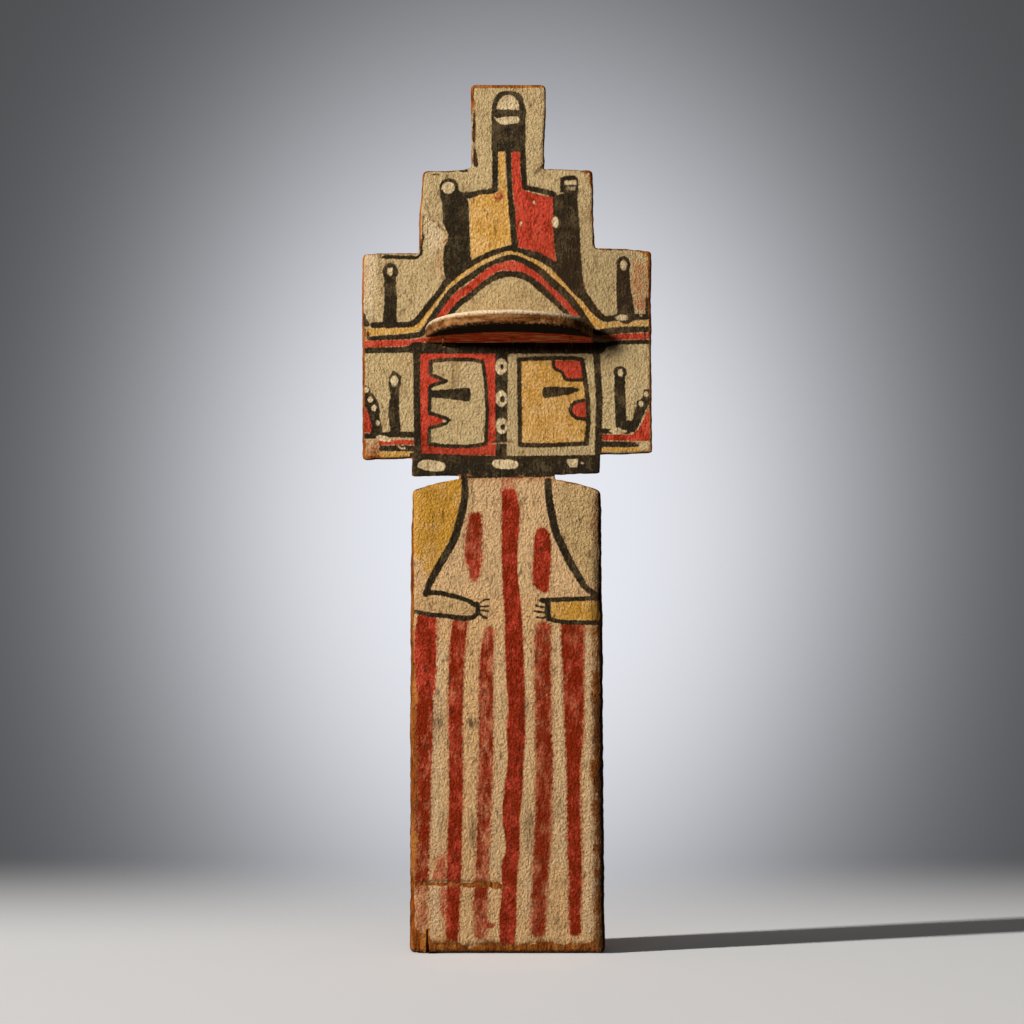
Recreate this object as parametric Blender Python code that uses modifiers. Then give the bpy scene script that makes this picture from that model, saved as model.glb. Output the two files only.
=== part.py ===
"""Flat plank kachina doll: one slab with a stepped headdress, a half-round visor and three stitches.

Metres, +Z up. The doll stands on its underside and faces -Y. The origin is the middle of the
underside. Run with: blender --background --python part.py
"""

import math

import bmesh
import bpy
from mathutils import Matrix, Vector

# Driving sizes of the slab
HEIGHT = 0.460
THICKNESS = 0.020
FRONT_Y = -THICKNESS / 2
BACK_Y = THICKNESS / 2

# Levels of the outline above the underside
SHOULDER_OUTER_Z = 0.2448
SHOULDER_INNER_Z = 0.2511
HEAD_BOTTOM_Z = 0.2530
HEAD_BOTTOM_LEFT_Z = 0.2527
HEAD_BOTTOM_RIGHT_Z = 0.2541
WING_BOTTOM_Z = 0.2615
WING_TOP_Z = 0.3710
MIDDLE_BLOCK_TOP_Z = 0.4148

# Half widths of the outline, left of the middle and right of it where the hand-cut sides differ
BASE_HALF_LEFT = 0.0517
BASE_HALF_RIGHT = 0.0522
SHOULDER_HALF = 0.0500
NECK_HALF = 0.0255
HEAD_HALF = 0.0495
WING_HALF = 0.0768
MIDDLE_HALF_FOOT = 0.0471
MIDDLE_HALF_TOP = 0.0450
TOP_BLOCK_HALF = 0.0200

# The right wing was cut a little higher than the left one, top and bottom
RIGHT_WING_LIFT = 0.0028

# How far each shoulder bulges above the straight line from the neck to its corner
SHOULDER_CROWN = 0.0014
SHOULDER_STEPS = 6

# Roundings
OUTLINE_CORNER = 0.0022
SHARP_CORNER = 0.0014
INNER_CORNER = 0.0009
NECK_CORNER = 0.0006
CORNER_STEPS = 4
STRAIGHT_ENOUGH_DEG = 25
SLAB_EDGE_ROUND = 0.0010
FACE_EDGE_SEGMENTS = 3
FLAT_FACE_Z = 0.7

# A drying split in the foot of the slab, left of the middle
SPLIT_X = -0.0424
SPLIT_WIDTH = 0.0013
SPLIT_HEIGHT = 0.0127

# Visor, a half-round board that rises towards its rim
VISOR_HALF_WIDTH = 0.0443
VISOR_DEPTH = 0.0420
VISOR_THICKNESS = 0.0078
VISOR_UNDERSIDE_Z = 0.3232
VISOR_RISE_DEG = 9.5
VISOR_RIM_ROUND = 0.0020
ROOT_ALLOWANCE = 0.0060
VISOR_RIM_STEPS = 36
VISOR_FULLNESS = 2.25
VISOR_MIDDLE_X = 0.0010
FIT_GAP = 0.0003

# Stitches that lash the visor to the slab, each a loop of sinew through four holes
STITCH_XS = {"left": -0.0338, "middle": 0.0029, "right": 0.0335}
STITCH_RADIUS = 0.0005
STITCH_HOLE_RADIUS = 0.0010
STITCH_INSET = 0.0123
STITCH_CLEARANCE = 0.00032
HOLE_BELOW_VISOR = 0.0012
LOOP_CORNER_STEPS = 3
HOLE_SIDES = 12
HOLE_OVERRUN = 0.004


def clear_scene():
    """Empty the scene and make the two collections."""
    for obj in list(bpy.data.objects):
        bpy.data.objects.remove(obj, do_unlink=True)
    doll = bpy.data.collections.new("kachina_doll")
    cutters = bpy.data.collections.new("cutters")
    bpy.context.scene.collection.children.link(doll)
    bpy.context.scene.collection.children.link(cutters)
    return doll, cutters


def material(name, colour, roughness):
    """A Principled material with plain values."""
    made = bpy.data.materials.new(name)
    made.use_nodes = True
    shader = made.node_tree.nodes["Principled BSDF"]
    shader.inputs["Base Color"].default_value = (*colour, 1.0)
    shader.inputs["Roughness"].default_value = roughness
    shader.inputs["Metallic"].default_value = 0.0
    return made


def shoulder(side):
    """(x, z) along the crowned top of one shoulder, from the neck out to its corner."""
    points = []
    for step in range(SHOULDER_STEPS + 1):
        share = step / SHOULDER_STEPS
        x = NECK_HALF + (SHOULDER_HALF - NECK_HALF) * share
        line = SHOULDER_INNER_Z + (SHOULDER_OUTER_Z - SHOULDER_INNER_Z) * share
        crown = SHOULDER_CROWN * math.sin(math.pi * share)
        points.append((side * x, line + crown))
    return points


def slab_outline():
    """(x, z, rounding) of the slab's corners, anticlockwise from the foot of its right side."""
    right_shoulder = shoulder(1)
    left_shoulder = shoulder(-1)
    lift = RIGHT_WING_LIFT
    corners = [(BASE_HALF_RIGHT, 0.0, OUTLINE_CORNER)]
    corners += [(x, z, SHARP_CORNER) for x, z in reversed(right_shoulder[1:])]
    corners += [
        (*right_shoulder[0], NECK_CORNER),
        (NECK_HALF, HEAD_BOTTOM_Z, NECK_CORNER),
        (HEAD_HALF, HEAD_BOTTOM_RIGHT_Z, SHARP_CORNER),
        (HEAD_HALF, WING_BOTTOM_Z + lift, INNER_CORNER),
        (WING_HALF, WING_BOTTOM_Z + lift, SHARP_CORNER),
        (WING_HALF, WING_TOP_Z, SHARP_CORNER),
        (MIDDLE_HALF_FOOT, WING_TOP_Z + lift, INNER_CORNER),
        (MIDDLE_HALF_TOP, MIDDLE_BLOCK_TOP_Z, OUTLINE_CORNER),
        (TOP_BLOCK_HALF, MIDDLE_BLOCK_TOP_Z, INNER_CORNER),
        (TOP_BLOCK_HALF, HEIGHT, OUTLINE_CORNER),
        (-TOP_BLOCK_HALF, HEIGHT, OUTLINE_CORNER),
        (-TOP_BLOCK_HALF, MIDDLE_BLOCK_TOP_Z, INNER_CORNER),
        (-MIDDLE_HALF_TOP, MIDDLE_BLOCK_TOP_Z, OUTLINE_CORNER),
        (-MIDDLE_HALF_FOOT, WING_TOP_Z, INNER_CORNER),
        (-WING_HALF, WING_TOP_Z, OUTLINE_CORNER),
        (-WING_HALF, WING_BOTTOM_Z, SHARP_CORNER),
        (-HEAD_HALF, WING_BOTTOM_Z, INNER_CORNER),
        (-HEAD_HALF, HEAD_BOTTOM_LEFT_Z, SHARP_CORNER),
        (-NECK_HALF, HEAD_BOTTOM_Z, NECK_CORNER),
        (*left_shoulder[0], NECK_CORNER),
    ]
    corners += [(x, z, SHARP_CORNER) for x, z in left_shoulder[1:]]
    corners.append((-BASE_HALF_LEFT, 0.0, OUTLINE_CORNER))
    return corners


def rounded(corners):
    """The outline with each corner replaced by a short arc of its own rounding."""
    points = []
    count = len(corners)
    for index, (x, z, rounding) in enumerate(corners):
        here = Vector((x, z))
        before = Vector(corners[index - 1][:2]) - here
        after = Vector(corners[(index + 1) % count][:2]) - here
        turn = math.pi - before.angle(after)
        if turn < math.radians(STRAIGHT_ENOUGH_DEG):
            points.append(here)
            continue
        reach = rounding * math.tan(turn / 2)
        start = here + before.normalized() * reach
        end = here + after.normalized() * reach
        centre = here + (before.normalized() + after.normalized()).normalized() * (
            rounding / math.cos(turn / 2)
        )
        for step in range(CORNER_STEPS + 1):
            spoke = (start - centre).slerp(end - centre, step / CORNER_STEPS)
            points.append(centre + spoke.normalized() * rounding)
    return points


def extruded(name, points, depth, collection):
    """A mesh object of a flat outline in the XY plane, extruded half its depth each way along Z."""
    curve = bpy.data.curves.new(name + "_outline", "CURVE")
    curve.dimensions = "2D"
    curve.fill_mode = "BOTH"
    curve.extrude = depth / 2
    spline = curve.splines.new("POLY")
    spline.points.add(len(points) - 1)
    for point, (x, y) in zip(spline.points, points):
        point.co = (x, y, 0.0, 1.0)
    spline.use_cyclic_u = True
    flat = bpy.data.objects.new(name + "_outline", curve)
    collection.objects.link(flat)
    graph = bpy.context.evaluated_depsgraph_get()
    mesh = bpy.data.meshes.new_from_object(flat.evaluated_get(graph))
    bpy.data.objects.remove(flat, do_unlink=True)
    bm = bmesh.new()
    bm.from_mesh(mesh)
    bmesh.ops.remove_doubles(bm, verts=bm.verts, dist=0.00002)
    bmesh.ops.dissolve_limit(bm, angle_limit=math.radians(0.5), verts=bm.verts, edges=bm.edges)
    bmesh.ops.recalc_face_normals(bm, faces=bm.faces)
    bm.to_mesh(mesh)
    bm.free()
    mesh.name = name
    made = bpy.data.objects.new(name, mesh)
    collection.objects.link(made)
    return made


def round_edges(obj, width):
    """Round the rim of both flat faces, and leave the edges between them."""
    weights = obj.data.attributes.new("bevel_weight_edge", "FLOAT", "EDGE")
    faces_of = {}
    for face in obj.data.polygons:
        for key in face.edge_keys:
            faces_of.setdefault(key, []).append(abs(face.normal.z))
    for edge in obj.data.edges:
        flatness = faces_of[edge.key]
        if min(flatness) < FLAT_FACE_Z < max(flatness):
            weights.data[edge.index].value = 1.0
    bevel = obj.modifiers.new("rounded_edges", "BEVEL")
    bevel.width = width
    bevel.segments = FACE_EDGE_SEGMENTS
    bevel.limit_method = "WEIGHT"
    bevel.use_clamp_overlap = False


def cut(obj, cutter, name):
    """Take the cutter's shape out of an object."""
    boolean = obj.modifiers.new(name, "BOOLEAN")
    boolean.operation = "DIFFERENCE"
    boolean.object = cutter


def as_cutter(obj):
    """Keep a helper out of the model and of the render."""
    obj.hide_render = True
    obj.display_type = "WIRE"
    return obj


def box_cutter(name, centre, size, collection):
    """A box that cuts, placed by its centre."""
    bpy.ops.mesh.primitive_cube_add(size=1.0)
    box = bpy.context.active_object
    box.name = name
    box.data.transform(Matrix.Diagonal((*size, 1.0)))
    box.location = centre
    for old in list(box.users_collection):
        old.objects.unlink(box)
    collection.objects.link(box)
    return as_cutter(box)


def drill(name, centre, length, along, collection):
    """A round cutter for a stitch hole, along Y or along Z."""
    bpy.ops.mesh.primitive_cylinder_add(
        vertices=HOLE_SIDES, radius=STITCH_HOLE_RADIUS, depth=length, end_fill_type="NGON"
    )
    bit = bpy.context.active_object
    bit.name = name
    if along == "Y":
        bit.rotation_euler.x = math.pi / 2
    bit.location = centre
    for old in list(bit.users_collection):
        old.objects.unlink(bit)
    collection.objects.link(bit)
    return as_cutter(bit)


def visor_rise(depth):
    """How far the visor has risen at a depth in front of the slab."""
    return depth * math.tan(math.radians(VISOR_RISE_DEG))


def stitch_levels():
    """Levels of the slab's holes under and over the visor's root."""
    low = VISOR_UNDERSIDE_Z - HOLE_BELOW_VISOR
    high = VISOR_UNDERSIDE_Z + VISOR_THICKNESS + HOLE_BELOW_VISOR
    return low, high


def build_slab(doll, cutters, finish):
    """The slab: body, neck, head and stepped headdress carved from one board."""
    outline = rounded(slab_outline())
    slab = extruded("slab", outline, THICKNESS, doll)
    slab.rotation_euler.x = math.pi / 2
    slab.data.materials.append(finish)
    round_edges(slab, SLAB_EDGE_ROUND)
    split = box_cutter(
        "split_cutter",
        (SPLIT_X, 0.0, 0.0),
        (SPLIT_WIDTH, THICKNESS + 2 * HOLE_OVERRUN, 2 * SPLIT_HEIGHT),
        cutters,
    )
    cut(slab, split, "drying_split")
    for name, x in STITCH_XS.items():
        for level, z in zip(("low", "high"), stitch_levels()):
            bit = drill(
                f"slab_hole_{name}_{level}",
                (x, 0.0, z),
                THICKNESS + 2 * HOLE_OVERRUN,
                "Y",
                cutters,
            )
            cut(slab, bit, f"stitch_hole_{name}_{level}")
    return slab


def visor_outline():
    """Plan of the visor: a rim a little fuller than half an ellipse, and spare length at the root."""
    points = [(VISOR_HALF_WIDTH, ROOT_ALLOWANCE)]
    for step in range(VISOR_RIM_STEPS + 1):
        turn = math.pi * step / VISOR_RIM_STEPS
        across = abs(math.cos(turn)) ** (2 / VISOR_FULLNESS)
        out = abs(math.sin(turn)) ** (2 / VISOR_FULLNESS)
        x = math.copysign(across, math.cos(turn)) * VISOR_HALF_WIDTH
        points.append((x, -out * VISOR_DEPTH))
    points.append((-VISOR_HALF_WIDTH, ROOT_ALLOWANCE))
    return list(reversed(points))


def build_visor(doll, cutters, finish):
    """The visor, sheared so that its root stands flat against the slab."""
    visor = extruded("visor", visor_outline(), VISOR_THICKNESS, doll)
    round_edges(visor, VISOR_RIM_ROUND)
    slope = math.tan(math.radians(VISOR_RISE_DEG))
    visor.data.transform(
        Matrix(((1, 0, 0, 0), (0, 1, 0, 0), (0, -slope, 1, 0), (0, 0, 0, 1)))
    )
    visor.location = (
        VISOR_MIDDLE_X,
        FRONT_Y - FIT_GAP,
        VISOR_UNDERSIDE_Z + VISOR_THICKNESS / 2,
    )
    visor.data.materials.append(finish)
    root = box_cutter(
        "visor_root_cutter",
        (0.0, FRONT_Y - FIT_GAP + ROOT_ALLOWANCE, VISOR_UNDERSIDE_Z),
        (4 * VISOR_HALF_WIDTH, 2 * ROOT_ALLOWANCE, 4 * VISOR_DEPTH),
        cutters,
    )
    cut(visor, root, "root_trimmed")
    for name, x in STITCH_XS.items():
        bit = drill(
            f"visor_hole_{name}",
            (x, FRONT_Y - STITCH_INSET, VISOR_UNDERSIDE_Z + VISOR_THICKNESS / 2),
            VISOR_THICKNESS + 2 * HOLE_OVERRUN,
            "Z",
            cutters,
        )
        cut(visor, bit, f"stitch_hole_{name}")
    return visor


def loop_path(corners, rounding):
    """A closed loop in the YZ plane with its corners rounded."""
    points = []
    count = len(corners)
    for index, corner in enumerate(corners):
        here = Vector(corner)
        before = (Vector(corners[index - 1]) - here).normalized()
        after = (Vector(corners[(index + 1) % count]) - here).normalized()
        for step in range(LOOP_CORNER_STEPS + 1):
            share = step / LOOP_CORNER_STEPS
            start = here + before * rounding
            end = here + after * rounding
            middle_in = start.lerp(here, share)
            middle_out = here.lerp(end, share)
            points.append(middle_in.lerp(middle_out, share))
    return points


def build_stitch(name, x, doll, finish):
    """One loop of sinew: down through the visor, back under it, through the slab and over."""
    low, high = stitch_levels()
    front = FRONT_Y - STITCH_INSET
    stand_off = STITCH_RADIUS + STITCH_CLEARANCE
    rise = visor_rise(STITCH_INSET)
    under = VISOR_UNDERSIDE_Z + rise - stand_off
    over = VISOR_UNDERSIDE_Z + VISOR_THICKNESS + rise + stand_off
    behind = BACK_Y + stand_off
    corners = [
        (front, under),
        (FRONT_Y - stand_off * 1.4, low),
        (behind, low),
        (behind, high),
        (FRONT_Y - stand_off * 1.4, high),
        (front, over),
    ]
    curve = bpy.data.curves.new("stitch_" + name, "CURVE")
    curve.dimensions = "3D"
    curve.bevel_depth = STITCH_RADIUS
    curve.bevel_resolution = 2
    curve.use_fill_caps = True
    spline = curve.splines.new("POLY")
    path = loop_path(corners, STITCH_RADIUS)
    spline.points.add(len(path) - 1)
    for point, (y, z) in zip(spline.points, path):
        point.co = (0.0, y, z, 1.0)
    spline.use_cyclic_u = True
    stitch = bpy.data.objects.new("stitch_" + name, curve)
    stitch.location.x = x
    doll.objects.link(stitch)
    stitch.data.materials.append(finish)
    return stitch


def main():
    """Build the doll."""
    doll, cutters = clear_scene()
    painted_wood = material("painted_wood", (0.42, 0.25, 0.13), 0.85)
    visor_wood = material("visor_wood", (0.40, 0.20, 0.11), 0.85)
    sinew = material("sinew", (0.55, 0.38, 0.20), 0.7)
    slab = build_slab(doll, cutters, painted_wood)
    visor = build_visor(doll, cutters, visor_wood)
    for obj in (slab, visor):
        obj.data.shade_smooth()
        obj.data.set_sharp_from_angle(angle=math.radians(40))
    for name, x in STITCH_XS.items():
        build_stitch(name, x, doll, sinew)


main()
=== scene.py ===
"""Looks of a flat plank kachina doll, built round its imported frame.

The frame is in metres, +Z up, and the doll stands on its underside and faces -Y. Carving and paint
are written in millimetres on the board: x across it and z up from the underside.
"""

from __future__ import annotations

import logging
import math
from collections.abc import Sequence
from dataclasses import dataclass, field
from enum import Enum
from typing import Any

import bmesh
import bpy
import numpy as np
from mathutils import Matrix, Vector, kdtree, noise
from mathutils.geometry import delaunay_2d_cdt


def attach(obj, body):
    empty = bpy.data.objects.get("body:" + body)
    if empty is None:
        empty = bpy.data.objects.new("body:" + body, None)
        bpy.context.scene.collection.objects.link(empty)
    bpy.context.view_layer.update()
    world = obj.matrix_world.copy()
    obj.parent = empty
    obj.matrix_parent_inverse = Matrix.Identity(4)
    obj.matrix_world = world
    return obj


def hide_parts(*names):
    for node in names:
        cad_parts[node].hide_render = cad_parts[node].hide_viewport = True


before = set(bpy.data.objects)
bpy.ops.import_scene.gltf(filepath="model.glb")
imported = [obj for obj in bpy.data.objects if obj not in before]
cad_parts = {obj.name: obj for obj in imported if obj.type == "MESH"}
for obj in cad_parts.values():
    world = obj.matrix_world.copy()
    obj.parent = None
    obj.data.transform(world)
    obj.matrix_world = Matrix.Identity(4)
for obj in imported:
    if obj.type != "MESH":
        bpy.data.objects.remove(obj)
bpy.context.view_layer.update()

LOG = logging.getLogger("kachina_doll")
MM = 0.001
SEED = 7
FAR = 4.0  # how deep in or out of a mark its layer still reads, in halves of its soft edge
MARK_FALL = 1.6  # how fast a mark's load and tone give way to those of its neighbours
TINY = 1e-9
WELD = 1e-6  # gap in millimetres below which two places are one

Pair = tuple[float, float]
Place = tuple[float, float, float]
Colour = tuple[float, float, float]
ColourPair = tuple[Colour, Colour]
Reading = tuple[np.ndarray, np.ndarray]
Socket = bpy.types.NodeSocket


def smoothstep(low: float, high: float, values: np.ndarray) -> np.ndarray:
    """Ease the values from 0 at low to 1 at high."""
    share = np.clip((values - low) / (high - low), 0.0, 1.0)
    return share * share * (3.0 - 2.0 * share)


def waves(spots: np.ndarray, across: float, along: float, seed: float) -> np.ndarray:
    """Smooth noise from -1 to 1 over the board.

    Args:
        spots: Places on the board, in millimetres.
        across: Length of a wave across the board.
        along: Length of a wave up the board.
        seed: Which noise to take.

    Returns:
        One value for each spot.
    """
    made = (noise.noise((x / across, z / along, seed)) for x, z in spots)
    return np.fromiter(made, float, len(spots))


@dataclass(frozen=True)
class Ripple:
    """One layer of uneven relief.

    Attributes:
        height: Its greatest height, in millimetres.
        across: Length of its waves across the board.
        along: Length of its waves up the board.
        seed: Which noise to take.
    """

    height: float
    across: float
    along: float
    seed: float

    def on(self, spots: np.ndarray) -> np.ndarray:
        """Its height at each spot."""
        return self.height * waves(spots, self.across, self.along, self.seed)


def smooth_path(points: Sequence[Sequence[float]], step: float) -> np.ndarray:
    """Walk a smooth curve through given points.

    Args:
        points: The points, each with its place first and then whatever changes along the curve.
        step: Longest step along the curve.

    Returns:
        The points of the walk, one a row.
    """
    given = np.array(points, float)
    padded = np.vstack([2 * given[0] - given[1], given, 2 * given[-1] - given[-2]])
    walk = []
    for first, start, end, last in zip(padded, padded[1:], padded[2:], padded[3:]):
        run, turn = end - first, 2 * first - 5 * start + 4 * end - last
        twist = 3 * start - first - 3 * end + last
        count = max(1, math.ceil(float(np.hypot(*(end - start)[:2])) / step))
        for share in np.arange(count) / count:
            walk.append(0.5 * (2 * start + run * share + turn * share**2 + twist * share**3))
    walk.append(given[-1])
    return np.array(walk)


def nearest_run(spots: np.ndarray, path: np.ndarray) -> Reading:
    """Measure every spot against every straight run of a path.

    Args:
        spots: Places on the board.
        path: The path's points, two numbers each.

    Returns:
        The gap to each run, and how far along the run the nearest place is, from 0 to 1.
    """
    start, run = path[:-1], path[1:] - path[:-1]
    length = np.maximum((run**2).sum(1), TINY)
    away = spots[:, None, :] - start[None]
    share = np.clip((away * run[None]).sum(2) / length, 0.0, 1.0)
    gap = np.linalg.norm(away - share[..., None] * run[None], axis=2)
    return gap, share


@dataclass(frozen=True)
class Stroke:
    """A brush or knife stroke along a smooth path.

    Attributes:
        points: x, z and width of the stroke at each given point.
        step: Longest step along the path.
    """

    points: tuple[Place, ...]
    step: float = 1.2

    def box(self) -> np.ndarray:
        """Lowest and highest corner of the stroke."""
        path = np.array(self.points)
        half = path[:, 2].max() / 2
        return np.array([path[:, :2].min(0) - half, path[:, :2].max(0) + half])

    def measure(self, spots: np.ndarray) -> Reading:
        """How deep inside the stroke each spot lies, and how far along it."""
        path = smooth_path(self.points, self.step)
        gap, share = nearest_run(spots, path[:, :2])
        half = (path[:-1, 2] + share * (path[1:, 2] - path[:-1, 2])) / 2
        inside = half - gap
        best = inside.argmax(1)
        rows = np.arange(len(spots))
        return inside[rows, best], (best + share[rows, best]) / (len(path) - 1)


@dataclass(frozen=True)
class Area:
    """A filled shape with straight sides.

    Attributes:
        points: x and z of its corners.
    """

    points: tuple[Pair, ...]

    def box(self) -> np.ndarray:
        """Lowest and highest corner of the area."""
        path = np.array(self.points)
        return np.array([path.min(0), path.max(0)])

    def measure(self, spots: np.ndarray) -> Reading:
        """How deep inside the area each spot lies, and how far down it."""
        closed = np.array(self.points + self.points[:1], float)
        gap = nearest_run(spots, closed)[0].min(1)
        start, end = closed[:-1], closed[1:]
        level = spots[:, 1:2]
        crosses = (start[:, 1] > level) != (end[:, 1] > level)
        rise = np.where(end[:, 1] == start[:, 1], 1.0, end[:, 1] - start[:, 1])
        meets = start[:, 0] + (level - start[:, 1]) / rise * (end[:, 0] - start[:, 0])
        inside = (crosses & (spots[:, :1] < meets)).sum(1) % 2 == 1
        low, high = self.box()
        down = (high[1] - spots[:, 1]) / max(high[1] - low[1], 1.0)
        return np.where(inside, gap, -gap), np.clip(down, 0.0, 1.0)


@dataclass(frozen=True)
class Dot:
    """A round or oval spot.

    Attributes:
        x: Its middle across the board.
        z: Its middle up the board.
        width: Its full width.
        height: Its full height, or 0 for a round one.
    """

    x: float
    z: float
    width: float
    height: float = 0.0

    def half(self) -> np.ndarray:
        """Half of its width and height."""
        return np.array([self.width, self.height or self.width]) / 2

    def box(self) -> np.ndarray:
        """Lowest and highest corner of the spot."""
        middle = np.array([self.x, self.z])
        return np.array([middle - self.half(), middle + self.half()])

    def measure(self, spots: np.ndarray) -> Reading:
        """How deep inside the spot each place lies, and how far down it."""
        ratio = np.linalg.norm((spots - (self.x, self.z)) / self.half(), axis=1)
        return (1.0 - ratio) * self.half().min(), np.zeros(len(spots))


Shape = Stroke | Area | Dot
ShadeRow = tuple[Shape, float, float]  # shape, softness and strength


def stroke(*points: Place | Pair, width: float | None = None) -> Stroke:
    """A stroke through these points, each with its own width or all with the same one."""
    return Stroke(points if width is None else tuple((x, z, width) for x, z in points))


def area(*points: Pair) -> Area:
    """A filled shape with these corners."""
    return Area(points)


def near(spots: np.ndarray, shape: Shape, margin: float) -> np.ndarray:
    """Numbers of the spots that lie in or close to a shape."""
    low, high = shape.box()
    return np.flatnonzero(((spots > low - margin) & (spots < high + margin)).all(1))


class Pigment(Enum):
    """Paints on the doll, in the order in which they lie on each other."""

    OCHRE = "ochre"
    RED = "red"
    BLACK = "black"
    CREAM = "cream"


class Tint(Enum):
    """Soft changes of the ground and of the worn wood; the dirt tint also carries painted shade."""

    BARE = "bare"
    BLUSH = "blush"
    OLIVE = "olive"
    PALE = "pale"
    DIRT_AND_SHADE = "dirt_and_shade"


@dataclass(frozen=True)
class Mark:
    """One painted mark.

    Attributes:
        pigment: Its paint.
        shape: Where it lies.
        soft: Half the width of its edge, in millimetres.
        load: How much paint it carries, from 0 to 1, or the same at its start and end.
        tone: Its own shade, from 0 to 1, or the same at its start and end.
        wiped: Whether the paint was left out here.
    """

    pigment: Pigment
    shape: Shape
    soft: float = 0.35
    load: float | Pair = 1.0
    tone: float | Pair = 0.5
    wiped: bool = False

    @staticmethod
    def along(value: float | Pair, share: np.ndarray) -> np.ndarray:
        """The load or tone at each share of the way from start to end."""
        start, end = value if isinstance(value, tuple) else (value, value)
        return start + (end - start) * share


@dataclass(frozen=True)
class Shade:
    """One soft change of the ground.

    Attributes:
        tint: What changes.
        shape: Where.
        soft: Half the width of its edge, in millimetres.
        strength: How far it goes, from 0 to 1.
    """

    tint: Tint
    shape: Shape
    soft: float
    strength: float


@dataclass(frozen=True)
class Cut:
    """Wood that is missing from the face: a crack, a chip or a pit.

    Attributes:
        shape: Where.
        depth: How deep it is, in millimetres.
        slope: How wide its sides are.
        dark: How dark the dirt in it is, from 0 to 1.
    """

    shape: Shape
    depth: float
    slope: float = 0.5
    dark: float = 0.75


def mark(pigment: Pigment, *given: Any, width: float | None = None, **more: Any) -> Mark:
    """A mark in one paint.

    Args:
        pigment: The paint.
        given: Its shape, or x, z and width of a stroke's points, or x and z of an area's corners.
        width: Width of an even stroke, whose points are given without it.
        more: What else the mark says.

    Returns:
        The mark.
    """
    first = given[0]
    if isinstance(first, Shape):
        return Mark(pigment, first, **more)
    is_area = width is None and len(first) == 2
    return Mark(pigment, area(*given) if is_area else stroke(*given, width=width), **more)


def ochre(*given: Any, **more: Any) -> Mark:
    """A mark in yellow ochre."""
    return mark(Pigment.OCHRE, *given, **more)


def red(*given: Any, **more: Any) -> Mark:
    """A mark in red earth."""
    return mark(Pigment.RED, *given, **more)


def black(*given: Any, **more: Any) -> Mark:
    """A mark in black."""
    return mark(Pigment.BLACK, *given, **more)


def cream(*given: Any, **more: Any) -> Mark:
    """A mark in pale clay."""
    return mark(Pigment.CREAM, *given, **more)


def black_lines(*strokes: tuple[Place, ...]) -> list[Mark]:
    """Several strokes in black."""
    return [black(*points) for points in strokes]


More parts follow.
